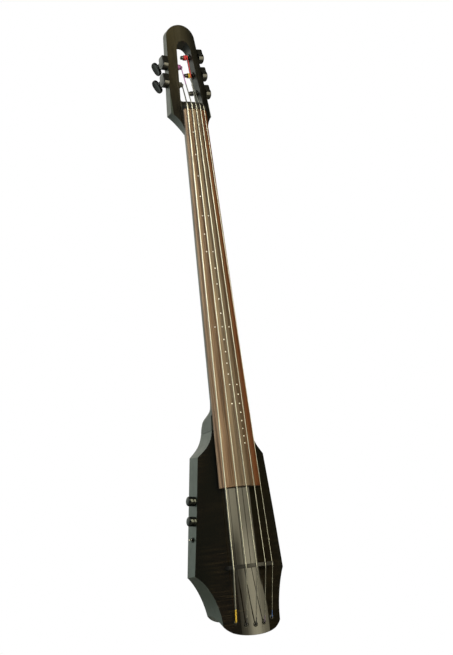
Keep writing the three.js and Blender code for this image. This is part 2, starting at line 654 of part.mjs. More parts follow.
function tunerHousing() {
  const shell = loft([housingLoop(0, GAP), housingLoop(0, HOUSING.out - HOUSING.chamfer),
    housingLoop(0.5, HOUSING.out - 0.6), housingLoop(HOUSING.chamfer, HOUSING.out)], (p) => [p.y, p.z]);
  return shape(shell, {
    add: [turned([[GAP, BARREL], [HOUSING.out - 2.7, BARREL], [HOUSING.out - 0.9, BARREL - 0.7],
      [HOUSING.out - 0.1, BARREL - 2.4]], 28)],
    cut: [turned([[-1, 9], [GEAR_PLANE + 4, 9]], 16),
      moved(turned([[-8.2, 3.8], [11.4, 3.8]], 10, 'y'), GEAR_PLANE, 0, WORM_OFFSET),
      moved(turned([[11, 2.7], [16, 2.7]], 10, 'y'), GEAR_PLANE, 0, WORM_OFFSET)],
  });
}

function tunerPost(reach) {
  const end = -RAIL - reach;
  const rod = turned([[end, POST_RADIUS - 0.8], [end + 0.8, POST_RADIUS],
    [GEAR_PLANE + 2.8, POST_RADIUS], [GEAR_PLANE + 3.4, POST_RADIUS - 1.4]], 14);
  return shape(rod, { add: [alongA(gearOutline(GEAR_TEETH, 7.9, 6.5), GEAR_PLANE - 2.5, GEAR_PLANE + 2.5)] });
}

function tunerBushing() {
  const sleeve = turned([[-RAIL - 2.3, 7.4], [-RAIL - 1.6, 9], [-RAIL - GAP, 9], [-RAIL - GAP, 6.2],
    [-0.2, 6.2]], 12);
  return shape(sleeve, { cut: [turned([[-RAIL - 5, POST_RADIUS + 0.4], [3, POST_RADIUS + 0.4]], 14)] });
}

function tunerWorm() {
  const profile = [[-7.9, 2.2], [-6.4, 2.2]];
  for (let i = 0; i < 4; i += 1) {
    const b = -6 + i * 3;
    profile.push([b, 2.4], [b + 1.5, 3.2]);
  }
  profile.push([6, 2.4], [6.4, 2.2], [28, 2.2]);
  return moved(turned(profile, 9, 'y'), GEAR_PLANE, 0, WORM_OFFSET);
}

const KEY_MIDDLE = 41.5; // from the post's plane back to the middle of the wing

// oval wing on a short stem; it turns with the worm shaft
function tunerKey(angle) {
  const oval = (shrink) => Array.from({ length: 24 }, (_, i) => {
    const t = (2 * Math.PI * i) / 24;
    const power = 0.82;
    return [KEY_MIDDLE + (11.5 - shrink) * Math.sign(Math.cos(t)) * Math.abs(Math.cos(t)) ** power,
      (17 - shrink) * Math.sign(Math.sin(t)) * Math.abs(Math.sin(t)) ** power];
  });
  const wing = loft([[-3.6, 1.4], [-2.2, 0], [2.2, 0], [3.6, 1.4]].map(([a, shrink]) => oval(shrink)
    .map(([b, c]) => V(a, b, c))), (p) => [p.y, p.z]);
  const key = shape(turned([[13.6, 4.9], [16, 4.9], [32, 3.4]], 14, 'y'), {
    add: [wing],
    cut: [turned([[10, 2.5], [28.4, 2.5]], 9, 'y')],
  });
  key.rotateY(THREE.MathUtils.degToRad(angle));
  return moved(key, GEAR_PLANE, 0, WORM_OFFSET);
}

for (const tuner of TUNERS) {
  const frame = tunerFrame(tuner);
  const name = STRING_NAMES[tuner.string];
  addPiece(`tuner_housing_${name}`, placed(tunerHousing(), frame), 'black');
  addPiece(`tuner_bushing_${name}`, placed(tunerBushing(), frame), 'black');
  addPiece(`tuner_post_${name}`, placed(tunerPost(tuner.reach), frame), 'black');
  addPiece(`tuner_worm_${name}`, placed(tunerWorm(), frame), 'steel');
  addPiece(`tuner_key_${name}`, placed(tunerKey(tuner.key), frame), 'black');
}

// ---------------------------------------------------------------- controls
const POT = { body: 7, thick: 9, bush: 3.5, nose: 4 };

KNOB_HEIGHTS.forEach((z, i) => {
  const frame = wallFrame(-1, bodyHalf(z), CONTROL_DEPTH, z, BODY_TAPER);
  const name = ['volume', 'tone'][i];
  const wall = -POCKET_WALL - GAP;
  const pot = shape(turned([[wall - POT.thick, POT.body], [wall, POT.body], [wall, POT.bush],
    [POT.nose, POT.bush]], 18), { cut: [turned([[wall - 5, 2.1], [POT.nose + 2, 2.1]], 10)] });
  addPiece(`${name}_pot`, placed(pot, frame), 'steel');
  const cap = shape(turned([[1, 10.3], [1.5, 10.8], [5.6, 10.8], [5.8, 10.2],
    [6.6, 10.2], [6.8, 10.8], [14, 10.8], [16.6, 9.8], [18, 7.2]], 24), {
    cut: [turned([[0, 4.2], [6, 4.2]], 12)],
  });
  const knob = shape(cap, { add: [turned([[wall - 4.5, 1.7], [8, 1.7]], 10)] });
  addPiece(`${name}_knob`, placed(knob, frame), 'blackChrome');
});

// three-way toggle: threaded body through the wall with its nut, and a bat lever on a ball
const toggleFrame = wallFrame(-1, bodyHalf(TOGGLE[1]), TOGGLE[0], TOGGLE[1], BODY_TAPER);
const toggleBody = shape(moved(box(-10, 0, -4, 4, -6.5, 6.5), -POCKET_WALL - GAP, 0, 0), {
  add: [turned([[-POCKET_WALL - 1, 3], [4, 3]], 12), turned([[GAP, 6.2], [2.3, 6.2], [2.8, 5.4]], 6)],
  cut: [turned([[-POCKET_WALL, 2.25], [0.5, 2.25], [5, 2.75]], 12)],
});
addPiece('toggle_body', placed(toggleBody, toggleFrame), 'chrome');
const lever = turned([[-2, 1.1], [0.6, 1.3], [1.1, 1.9], [2, 2.1], [2.9, 1.9], [3.6, 1.2],
  [9, 1.8], [10.6, 1.7], [11.4, 1]], 10);
addPiece('toggle_lever', placed(lever, toggleFrame), 'chrome');

// ---------------------------------------------------------------- back cover and jack
const inCover = (geometry, a, c) => placed(moved(geometry, a, 0, c), coverFrame);
const cover = shape(loft([-COVER.thickness, 0].map((b) => coverOutline(GAP)
  .map(([a, c]) => V(a, b, c))), (p) => [p.x, p.z]), {
  cut: [moved(turned([[-4, 5.2], [2, 5.2]], 16, 'y'), JACK_SPOT[0], 0, JACK_SPOT[1]),
    ...COVER_SCREWS.map(([a, c]) => moved(turned([[-4, 1.7], [2, 1.7]], 10, 'y'), a, 0, c))],
});
addPiece('control_cover', placed(cover, coverFrame), 'plastic');

const jack = shape(turned([[-20, 4.8], [GAP, 4.8], [GAP, 8], [2.2, 8], [2.8, 7.4]], 18, 'y'), {
  cut: [turned([[-18, 3.6], [4, 3.6]], 14, 'y')],
});
addPiece('output_jack', inCover(jack, ...JACK_SPOT), 'chrome');

// pan-head screw along local b with its head outside
const screw = (length, shank, head, rise) => turned([[-length, shank], [GAP, shank], [GAP, head],
  [rise * 0.7 + GAP, head], [rise + GAP, head * 0.65]], 10, 'y');
COVER_SCREWS.forEach(([a, c], i) => {
  addPiece(`cover_screw_${i + 1}`, inCover(screw(11, 1.35, 3, 1.6), a, c), 'steel');
});

// ---------------------------------------------------------------- stand plate
const plateFace = BODY_BACK + GAP + PLATE.thickness;
const plateOutline = roundedBox(-PLATE.width / 2, PLATE.width / 2, PLATE.middle - PLATE.height / 2,
  PLATE.middle + PLATE.height / 2, 8);
const countersink = [[-8, 2.4], [-2.6, 2.4], [-0.4, 4.6], [3, 4.6]];
addPiece('stand_plate', shape(slab(plateOutline, BODY_BACK + GAP, plateFace), {
  cut: PLATE_SCREWS.map(([x, c]) => moved(turned(countersink, 10, 'y'), x, plateFace, PLATE.middle + c)),
}), 'steel');
PLATE_SCREWS.forEach(([x, c], i) => {
  const flat = turned([[-22, 2], [-2.8, 2], [-0.8, 4.2], [-0.4, 4.2]], 10, 'y');
  addPiece(`plate_screw_${i + 1}`, moved(flat, x, plateFace, PLATE.middle + c), 'steel');
});

// ---------------------------------------------------------------- common origin on the stand plate
group.children.forEach((mesh) => {
  mesh.geometry.translate(0, -plateFace, -PLATE.middle);
  const flat = mesh.geometry.toNonIndexed();
  flat.computeVertexNormals();
  mesh.geometry = flat;
});

export default group;
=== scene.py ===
import math

import bmesh
import bpy
from mathutils import Matrix, Vector


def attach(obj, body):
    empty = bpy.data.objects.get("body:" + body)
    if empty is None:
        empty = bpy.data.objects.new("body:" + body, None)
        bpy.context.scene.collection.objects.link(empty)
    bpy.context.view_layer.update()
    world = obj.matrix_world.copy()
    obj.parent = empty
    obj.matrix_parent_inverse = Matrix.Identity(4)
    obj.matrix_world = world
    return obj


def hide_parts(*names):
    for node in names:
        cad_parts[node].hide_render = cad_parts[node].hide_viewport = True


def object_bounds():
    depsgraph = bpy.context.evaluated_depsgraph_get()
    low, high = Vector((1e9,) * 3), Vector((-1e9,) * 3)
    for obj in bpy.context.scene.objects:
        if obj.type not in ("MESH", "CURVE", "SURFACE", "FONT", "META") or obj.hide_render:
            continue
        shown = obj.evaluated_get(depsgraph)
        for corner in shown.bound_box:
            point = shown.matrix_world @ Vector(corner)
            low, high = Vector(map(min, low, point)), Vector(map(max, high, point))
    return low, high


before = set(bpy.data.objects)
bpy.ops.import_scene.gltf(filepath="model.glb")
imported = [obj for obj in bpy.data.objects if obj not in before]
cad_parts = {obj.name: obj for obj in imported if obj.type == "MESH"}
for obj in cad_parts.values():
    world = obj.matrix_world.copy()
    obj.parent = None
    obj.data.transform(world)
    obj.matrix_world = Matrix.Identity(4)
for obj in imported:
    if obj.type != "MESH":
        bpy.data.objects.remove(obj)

CAD_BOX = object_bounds()
ROOT = "instrument"

# ======== sizes, in millimetres
# Lengths are those of the CAD part, in its modelling frame: X to the thin strings, Y to the
# back, Z up the neck, zero at the bridge. TO_ROW carries a mesh from there to the row frame.
TO_ROW = Matrix.Scale(0.001, 4) @ Matrix.Translation((0, -121.6, 50))
GAP = 0.3
SCALE = 1060
STRING_RADII = [1.7, 1.45, 1.2, 0.95, 0.75]
STRING_NAMES = ["b", "e", "a", "d", "g"]
BRIDGE_PITCH = 24.05
BRIDGE_ARCH = 82.7
BRIDGE_THICK = 8
PICKUP = dict(x=43, half=8.5, front=32.4, back=34.6, deep=2.4)
NUT_PITCH = 11.1
NUT_LENGTH = 10
BODY_ARCH = 159
BODY_CROWN = 32.7
BODY_CROWN_RISE = 0.022
BODY_BACK = 117.3
BACK_TAPER = 0.095
BACK_AT_BRIDGE = 114.6  # depth of the sloping upper back, carried down to the bridge
BACK_KNEE = -28.4  # height where the slope begins
HORN = (83.1, 245)
HIP = (110.9, -8.4)
TAIL = (70.6, -124.5)
TAIL_END = -141.3
TAIL_RISE = [(-20, -27.5), (45, 0), (57, 7.5), (70, 15.5), (83, 21.6), (96, 25.4), (108, 26.6),
             (117.3, 27), (140, 27.5)]
SEAM = 300
HORN_LIFT = 0.1
BOARD_END = 171
BOARD_HALF = (51, 28.9)
BOARD_CROWN = (8.2, 2.2)
BOARD_ARCH = (80, 85)
BOARD_UNDER = (30.6, 13)
HEAD_BASE = 1056
HEAD_TOP = 1291.5
HEAD_HALF = 53.2
HEAD_SHOULDER = 1262
HEAD_TAPER = 0.0751
HEAD_ARCH = 90
HEAD_CROWN = 11.55
HEAD_TILT = 0.0716
HEAD_BACK = 51.5
RAIL = 21.8
SLOT_BOTTOM = 1083
SLOT_TOP = 1250
POST_DEPTH = 40
POST_RADIUS = 4.6
WORM_OFFSET = 11.5
GEAR_PLANE = 7
GEAR_TEETH = 20
TUNERS = [  # string, side of the head, height, reach of the post, where the coil starts, ...
    dict(string=0, side=-1, z=1139.5, reach=18.5, leave=-12.5, step=-1, turns=3, key=34),
    dict(string=1, side=-1, z=1186, reach=18.5, leave=-9, step=-1, turns=3, key=31),
    dict(string=2, side=1, z=1213.5, reach=22.5, leave=12, step=-1, turns=4, key=-12),
    dict(string=3, side=1, z=1167, reach=22.5, leave=9, step=1, turns=4, key=20),
    dict(string=4, side=1, z=1120.5, reach=19.5, leave=18, step=-1, turns=5, key=-6),
]
TAIL_HOLES = [(-45.7, -113.3), (-23.1, -121), (-1.1, -123), (21, -120.6), (43, -112.9)]
CONTROL_DEPTH = 70.5
KNOB_HEIGHTS = (151.5, 108)
TOGGLE = (84, 70.2)
POCKET_WALL = 8
POCKET = dict(a0=-36, a1=-POCKET_WALL, front=63, low=-58, high=58, step=-14, low_front=70)
POCKET_MIDDLE = 111
COVER = dict(width=40, length=134, thickness=2, corner=6)
PLATE = dict(width=64, height=72, thickness=4, middle=-50)
TENON = dict(half=22, back=66, low=232)
BODY_TAPER = (HIP[0] - HORN[0]) / (HORN[1] - HIP[1])


def lerp(a, b, t):
    return a + (b - a) * t


def sag(radius, x):
    return radius - math.sqrt(radius * radius - x * x)


def board_share(z):
    return (z - BOARD_END) / (SCALE - BOARD_END)


def board_half(z):
    return lerp(*BOARD_HALF, board_share(z))


def board_under(z):
    return lerp(*BOARD_UNDER, board_share(z))


def board_front(x, z):
    share = board_share(z)
    return lerp(BOARD_CROWN[0] + sag(BOARD_ARCH[0], x), BOARD_CROWN[1] + sag(BOARD_ARCH[1], x), share)


def body_front(x, z):
    return BODY_CROWN - BODY_CROWN_RISE * z + sag(BODY_ARCH, x)


def body_half(z):
    return lerp(HIP[0], HORN[0], (z - HIP[1]) / (HORN[1] - HIP[1]))


def head_half(z):
    return HEAD_HALF - HEAD_TAPER * (z - HEAD_BASE)


# ======== mesh building
def add_object(name, data):
    obj = bpy.data.objects.new(name, data)
    bpy.context.scene.collection.objects.link(obj)
    return obj


def mesh_of(verts, faces):
    """Mesh with its faces turned outwards."""
    mesh = bpy.data.meshes.new("shape")
    mesh.from_pydata([tuple(v) for v in verts], [], [tuple(f) for f in faces])
    work = bmesh.new()
    work.from_mesh(mesh)
    bmesh.ops.recalc_face_normals(work, faces=work.faces)
    work.to_mesh(mesh)
    work.free()
    return mesh


def bezier(p0, p1, p2, p3, count):
    points = []
    for i in range(count + 1):
        t = i / count
        u = 1 - t
        points.append(tuple(u ** 3 * p0[k] + 3 * u * u * t * p1[k] + 3 * u * t * t * p2[k] + t ** 3 * p3[k]
                            for k in (0, 1)))
    return points


def mirrored(half):
    """Closed outline from its +X half, listed from bottom to top."""
    return list(half) + [(-x, z) for x, z in reversed(half) if x > 1e-6]


def circle(radius, count, cx=0.0, cy=0.0, start=0.0):
    angles = [start + 2 * math.pi * i / count for i in range(count)]
    return [(cx + radius * math.cos(a), cy + radius * math.sin(a)) for a in angles]


def rounded_box(x0, x1, y0, y1, radius, steps=8):
    points = []
    for cx, cy, quarter in ((x1 - radius, y1 - radius, 0), (x0 + radius, y1 - radius, 1),
                            (x0 + radius, y0 + radius, 2), (x1 - radius, y0 + radius, 3)):
        for i in range(steps + 1):
            angle = (quarter + i / steps) * math.pi / 2
            points.append((cx + radius * math.cos(angle), cy + radius * math.sin(angle)))
    return points


def loft(loops):
    """Skin through loops of equal length, closed at both ends."""
    count = len(loops[0])
    verts = [p for loop in loops for p in loop]
    faces = []
    for k in range(len(loops) - 1):
        for i in range(count):
            j = (i + 1) % count
            faces.append((k * count + i, k * count + j, (k + 1) * count + j, (k + 1) * count + i))
    last = (len(loops) - 1) * count
    faces.append(tuple(reversed(range(count))))
    faces.append(tuple(range(last, last + count)))
    return mesh_of(verts, faces)


def slab(outline, y0, y1):
    return loft([[(x, y, z) for x, z in outline] for y in (y0, y1)])


def across_x(outline, x0, x1):
    return loft([[(x, y, z) for y, z in outline] for x in (x0, x1)])


def up_z(outline, z0, z1):
    return loft([[(x, y, z) for x, y in outline] for z in (z0, z1)])


def block(x0, x1, y0, y1, z0, z1):
    return up_z([(x0, y0), (x1, y0), (x1, y1), (x0, y1)], z0, z1)


def turned(profile, sides=40, axis="x"):
    order = {"x": lambda t, u, v: (t, u, v), "y": lambda t, u, v: (u, t, v), "z": lambda t, u, v: (u, v, t)}
    return loft([[order[axis](t, u, v) for u, v in circle(r, sides)] for t, r in profile])


def peg(profile, sides, x, z, y=0):
    return shift(turned(profile, sides, "y"), x, y, z)


def moved(mesh, matrix):
    mesh = mesh.copy()
    mesh.transform(matrix)
    if matrix.determinant() < 0:
        mesh.flip_normals()
    return mesh


def shift(mesh, a, b, c):
    return moved(mesh, Matrix.Translation((a, b, c)))


def carve(stock, add=(), keep=(), cut=()):
    """Stock with others added, kept only inside some, and cut by the rest."""
    base = add_object("carving", stock)
    helpers = []
    for operation, meshes in (("UNION", add), ("INTERSECT", keep), ("DIFFERENCE", cut)):
        for mesh in meshes:
            helpers.append(add_object("tool", mesh))
            step = base.modifiers.new("step", "BOOLEAN")
            step.object = helpers[-1]
            step.operation = operation
            step.solver = "MANIFOLD"
    bpy.context.view_layer.update()
    graph = bpy.context.evaluated_depsgraph_get()
    result = bpy.data.meshes.new_from_object(base.evaluated_get(graph))
    for each in helpers + [base]:
        bpy.data.objects.remove(each)
    return result


def wall_frame(side, half, depth, z, taper):
    """Local frame on a tapering side wall: a out of the wall, b to the back, c up the wall."""
    length = math.hypot(1, taper)
    a = Vector((side / length, 0, taper / length))
    c = Vector((-side * taper / length, 0, 1 / length))
    return frame_of(a, Vector((0, 1, 0)), c, Vector((side * half, depth, z)))


def frame_of(a, b, c, origin):
    matrix = Matrix.Identity(4)
    for k, column in enumerate((a, b, c, origin)):
        for i in range(3):
            matrix[i][k] = column[i]
    return matrix


def tube(points, radii, sides):
    """Round rod of changing radius along a path."""
    points = [Vector(p) for p in points]
    side = Vector((1, 0, 0))
    loops = []
    for i, point in enumerate(points):
        tangent = (points[min(i + 1, len(points) - 1)] - points[max(i - 1, 0)]).normalized()
        side = (side - tangent * side.dot(tangent)).normalized()
        other = tangent.cross(side)
        loops.append([point + side * u + other * v for u, v in circle(radii[i], sides)])
    return loft(loops)


# ======== materials
def grey(level):
    return (level, level, level)


class Graph:
    """Short-hand for adding nodes to a tree."""

    def __init__(self, tree):
        self.tree = tree

    def add(self, kind, **settings):
        node = self.tree.nodes.new(kind)
        for key, value in settings.items():
            setattr(node, key, value)
        return node

    def link(self, source, target):
        self.tree.links.new(source, target)

    def feed(self, node, **values):
        """Sockets by name, each linked to a socket or set to a value."""
        for key, value in values.items():
            socket = node.inputs[key.replace("_", " ")]
            if isinstance(value, bpy.types.NodeSocket):
                self.link(value, socket)
            else:
                socket.default_value = value
        return node

    def ramp(self, value, stops):
        node = self.add("ShaderNodeValToRGB")
        while len(node.color_ramp.elements) < len(stops):
            node.color_ramp.elements.new(0.5)
        for element, (position, color) in zip(node.color_ramp.elements, stops):
            element.position = position
            element.color = (*color, 1)
        self.link(value, node.inputs["Fac"])
        return node.outputs["Color"]

    def mix(self, share, a, b, blend="MIX"):
        node = self.feed(self.add("ShaderNodeMix", data_type="RGBA", blend_type=blend), Factor=share)
        for socket, value in zip(node.inputs[6:8], (a, b)):
            if isinstance(value, bpy.types.NodeSocket):
                self.link(value, socket)
            else:
                socket.default_value = (*value, 1)
        return node.outputs[2]

    def times(self, a, b):
        return self.mix(1.0, a, b, "MULTIPLY")

    def math(self, operation, a, b):
        node = self.add("ShaderNodeMath", operation=operation)
        for socket, value in zip(node.inputs, (a, b)):
            if isinstance(value, bpy.types.NodeSocket):
                self.link(value, socket)
            else:
                socket.default_value = value
        return node.outputs["Value"]

    def span(self, value, low, high, to_low=0.0, to_high=1.0, smooth=False):
        node = self.add("ShaderNodeMapRange", interpolation_type="SMOOTHSTEP" if smooth else "LINEAR")
        self.feed(node, From_Min=low, From_Max=high, To_Min=to_low, To_Max=to_high, Value=value)
        return node.outputs["Result"]


class Nodes(Graph):
    """One material's node tree around its Principled BSDF."""

    def __init__(self, name, **values):
        self.material = bpy.data.materials.new(name)
        self.material.use_nodes = True
        super().__init__(self.material.node_tree)
        self.shader = self.tree.nodes["Principled BSDF"]
        self.feed(self.shader, **values)
        self.place = self.add("ShaderNodeTexCoord").outputs["Object"]

    def noise(self, scale, detail=3.0, roughness=0.5, distortion=0.0):
        mapping = self.feed(self.add("ShaderNodeMapping"), Scale=scale, Vector=self.place)
        place = mapping.outputs["Vector"]
        node = self.feed(self.add("ShaderNodeTexNoise"), Scale=1.0, Detail=detail, Roughness=roughness,
                         Distortion=distortion, Vector=place)
        return node.outputs["Fac"]

    def axis(self, name):
        return self.feed(self.add("ShaderNodeSeparateXYZ"), Vector=self.place).outputs[name]

    def color(self, value):
        self.feed(self.shader, Base_Color=value)

    def rough(self, value, low, high):
        """Roughness from low to high as a noise or other value runs over its middle range."""
        self.feed(self.shader, Roughness=self.span(value, 0.3, 0.7, low, high))

    def bump(self, value, distance, strength=1.0):
        node = self.feed(self.add("ShaderNodeBump"), Distance=distance, Strength=strength, Height=value)
        self.feed(self.shader, Normal=node.outputs["Normal"])


def flamed_lacquer():
    """Black see-through lacquer over maple with faint horizontal figure."""
    m = Nodes("body_flamed_lacquer", IOR=1.36, Roughness=0.05)
    flame = m.noise((16, 16, 210), detail=3, roughness=0.55, distortion=0.35)
    patch = m.noise((7, 7, 5), detail=2)
    tone = m.ramp(flame, [(0.38, (0.0035, 0.0025, 0.0018)), (0.52, (0.008, 0.0052, 0.0032)),
                          (0.64, (0.017, 0.0125, 0.0065))])
    share = m.math("MULTIPLY", m.span(patch, 0.35, 0.65), m.span(m.axis("X"), -0.07, 0.03, 1.2, 0.35))
    m.color(m.mix(share, (0.004, 0.0035, 0.002), tone))
    m.rough(m.noise((90, 90, 60), detail=4), 0.035, 0.075)
    return m.material


def satin_black(name, light, dark, rough):
    m = Nodes(name, IOR=1.5)
    grain = m.noise((220, 220, 9), detail=4, roughness=0.6)
    m.color(m.ramp(grain, [(0.35, dark), (0.65, light)]))
    m.rough(m.noise((60, 60, 60), detail=4), rough - 0.05, rough + 0.06)
    m.bump(grain, 0.00004, 0.5)
    return m.material


def head_face():
    m = Nodes("head_face_veneer_painted_light", IOR=1.32)
    grain = m.noise((150, 150, 8), detail=4, roughness=0.6)
    wood = m.ramp(grain, [(0.35, (0.6, 0.58, 0.5)), (0.65, grey(1.0))])
    # Painted light and shade: the face is lighter on the bass side and darker on the treble side, and darker
    # low down and lighter towards the top of the head.
    side = m.ramp(m.span(m.axis("X"), -0.05, 0.05), [
        (0.0, (0.026, 0.0215, 0.011)), (0.5, (0.013, 0.011, 0.006)), (0.8, (0.003, 0.0028, 0.0018))])
    rise = m.ramp(m.span(m.axis("Z"), 1.11, 1.34), [(0.0, grey(0.35)), (1.0, grey(1.5))])
    m.color(m.times(m.times(side, rise), wood))
    m.rough(m.noise((40, 40, 40), detail=3), 0.3, 0.4)
    return m.material


def rosewood():
    """Open-pored board wood: long streaks, paler at the thick-string edge, where the pale colour is a painted
    sheen, and redder at the other.
    """
    m = Nodes("board_rosewood", IOR=1.32)
    half = m.span(m.axis("Z"), 0.221, 1.11, 0.051, 0.0289)
    across = m.math("DIVIDE", m.axis("X"), half)
    wander = m.math("MULTIPLY", m.math("SUBTRACT", m.noise((60, 60, 2.2), detail=2), 0.5), 0.5)
    # Colour across the board, its edges wandered by a noise: pale at the thick-string edge as a painted
    # sheen, darker in the middle, redder at the other edge.
    painted_sheen_and_tone = m.ramp(m.span(m.math("ADD", across, wander), -1.0, 1.0), [
        (0.0, (0.30, 0.235, 0.18)), (0.14, (0.27, 0.20, 0.15)), (0.2, (0.15, 0.095, 0.06)),
        (0.4, (0.125, 0.088, 0.052)), (0.55, (0.07, 0.048, 0.027)), (0.7, (0.058, 0.034, 0.014)),
        (0.86, (0.095, 0.034, 0.011)), (1.0, (0.085, 0.03, 0.010))])
    fine = m.noise((420, 420, 7), detail=4, roughness=0.6)
    bands = m.noise((150, 150, 1.8), detail=2, roughness=0.5, distortion=0.2)
    pores = m.noise((1500, 1500, 70), detail=2, roughness=0.5)
    streak = m.ramp(fine, [(0.36, (0.5, 0.44, 0.4)), (0.6, grey(1.0))])
    stripe = m.ramp(bands, [(0.36, (0.34, 0.24, 0.20)), (0.46, (1.0, 0.96, 0.9)), (0.54, (0.62, 0.46, 0.4)),
                            (0.62, (1.15, 1.1, 1.0)), (0.7, (0.5, 0.36, 0.3))])
    m.color(m.mix(0.7, m.mix(0.8, painted_sheen_and_tone, stripe, "MULTIPLY"), streak, "MULTIPLY"))
    m.rough(fine, 0.5, 0.38)
    m.bump(m.ramp(pores, [(0.34, grey(0.0)), (0.42, grey(1.0))]), 0.00006, 0.6)
    return m.material


def metal(name, tone, rough, wear=0.04, brushed=(60, 60, 60)):
    m = Nodes(name, Metallic=1.0)
    cloud = m.noise(brushed, detail=4)
    m.color(m.ramp(cloud, [(0.3, tuple(c * 0.88 for c in tone)), (0.7, tone)]))
    m.rough(cloud, rough, rough + wear)
    return m.material


def gloss_black(name, tone=(0.008, 0.008, 0.008), rough=0.16, ior=1.5):
    m = Nodes(name, IOR=ior)
    cloud = m.noise((130, 130, 130), detail=4)
    m.color(m.ramp(cloud, [(0.3, tuple(c * 0.7 for c in tone)), (0.7, tone)]))
    m.rough(cloud, rough, rough + 0.08)
    return m.material


def wound_steel():
    """Flat ribbon wound tightly round the core."""
    m = Nodes("string_wound_steel", Metallic=1.0)
    wave = m.add("ShaderNodeTexWave", wave_type="BANDS", bands_direction="Z", wave_profile="SAW")
    m.feed(wave, Scale=260, Vector=m.place)
    cloud = m.noise((200, 200, 30), detail=3)
    tone = m.ramp(cloud, [(0.3, (0.22, 0.22, 0.20)), (0.7, (0.32, 0.32, 0.29))])
    lift = m.ramp(m.span(m.axis("Z"), 0.5, 1.15), [(0.0, grey(0.5)), (1.0, grey(1.0))])
    m.color(m.times(m.times(tone, grey(2.0)), lift))
    m.rough(cloud, 0.3, 0.4)
    m.bump(wave.outputs["Fac"], 0.00003, 0.5)
    return m.material


def silk(name, tone):
    """Thread wound over the end of a string."""
    m = Nodes("silk_" + name, IOR=1.45, Roughness=0.6)
    thread = m.noise((900, 900, 2600), detail=2)
    m.color(m.ramp(thread, [(0.35, tuple(c * 0.55 for c in tone)), (0.62, tone)]))
    m.bump(thread, 0.00008, 0.8)
    return m.material


FRONT = flamed_lacquer()
WALL = satin_black("body_wall_satin", (0.034, 0.050, 0.038), (0.024, 0.036, 0.027), 0.34)
NECK = satin_black("neck_satin", (0.034, 0.042, 0.032), (0.024, 0.030, 0.023), 0.34)
# Darker copy of the neck satin for the faces inside the head's slot: painted shade in the recess.
SLOT_SHADE = satin_black("slot_satin_painted_shade", (0.010, 0.011, 0.009), (0.006, 0.007, 0.006), 0.45)
FACE = head_face()
BOARD = rosewood()
EBONY = gloss_black("nut_black", (0.012, 0.011, 0.010), 0.36, 1.3)
BRIDGE_TOP = gloss_black("bridge_black", (0.014, 0.013, 0.012), 0.42, 1.3)
HARDWARE = gloss_black("tuner_black", (0.007, 0.007, 0.006), 0.07, 1.36)
KNOB = metal("black_chrome", (0.030, 0.032, 0.030), 0.05, 0.03)
CHROME = metal("bright_chrome", (0.5, 0.5, 0.49), 0.1)
STEEL = metal("plain_steel", (0.5, 0.5, 0.49), 0.3, 0.1, (400, 400, 30))
BRASS = metal("piezo_brass", (0.62, 0.5, 0.25), 0.3)
WOUND = wound_steel()
PLASTIC = gloss_black("cover_plastic", (0.02, 0.02, 0.02), 0.5)
PEARL = satin_black("dot_white", (0.82, 0.80, 0.74), (0.74, 0.72, 0.66), 0.35)
SILKS = {name: silk(name, tone) for name, tone in {
    "yellow": (0.55, 0.36, 0.03), "plum": (0.14, 0.10, 0.17), "blue": (0.05, 0.11, 0.32),
    "dark": (0.03, 0.03, 0.035), "violet": (0.34, 0.12, 0.36), "red": (0.55, 0.03, 0.035),
    "grey": (0.10, 0.10, 0.09)}.items()}

LOOKS = {"plain_steel": STEEL, "tuner_black": HARDWARE, "black_chrome": KNOB, "bright_chrome": CHROME,
         "cover_plastic": PLASTIC, "piezo_brass": BRASS, "bridge_black": BRIDGE_TOP,
         "black_fittings": EBONY, "board_rosewood": BOARD}


# ======== pieces
def weigh_edges(mesh, crease, rim):
    """Full bevel where two materials meet at a sharp edge, and a smaller one at the other sharp edges."""
    weights = mesh.attributes.new("bevel_weight_edge", "FLOAT", "EDGE")
    faces_at = {}
    for polygon in mesh.polygons:
        for key in polygon.edge_keys:
            faces_at.setdefault(key, []).append(polygon)
    for edge in mesh.edges:
        pair = faces_at.get(edge.key, [])
        if len(pair) == 2 and pair[0].normal.angle(pair[1].normal, 0) > crease:
            weights.data[edge.index].value = rim if pair[0].material_index == pair[1].material_index else 1.0


def piece(name, mesh, node=None, slot=None, body=ROOT, materials=None, choose=None, bevel=0.0, segments=2,
          crease=32, merge=True, rim=None):
    """One visible piece riding on a body, in its slot's look unless materials are given.
    choose(face) gives the index of a face's material, and rim is the share of the bevel that an
    edge between two faces of one material gets."""
    mesh.transform(TO_ROW)
    mesh.name = name
    work = bmesh.new()
    work.from_mesh(mesh)
    bmesh.ops.remove_doubles(work, verts=work.verts, dist=2e-6)
    if merge:
        bmesh.ops.dissolve_limit(work, angle_limit=math.radians(0.6), verts=work.verts, edges=work.edges)
    work.to_mesh(mesh)
    work.free()
    obj = add_object(name, mesh)
    mesh.materials.clear()
    for material in materials or [LOOKS[slot]]:
        mesh.materials.append(material)
    for polygon in mesh.polygons:
        polygon.use_smooth = True
        polygon.material_index = choose(polygon) if choose else 0
    mesh.set_sharp_from_angle(angle=math.radians(crease))
    if bevel:
        edge = obj.modifiers.new("edges", "BEVEL")
        edge.width = bevel / 1000
        edge.segments = segments
        edge.limit_method = "ANGLE"
        edge.angle_limit = math.radians(crease)
        if rim is not None:
            edge.limit_method = "WEIGHT"
            weigh_edges(mesh, math.radians(crease), rim)
        edge.use_clamp_overlap = False
        edge.harden_normals = True
        edge.miter_outer = "MITER_ARC"
    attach(obj, body)
    if node:
        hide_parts(node)


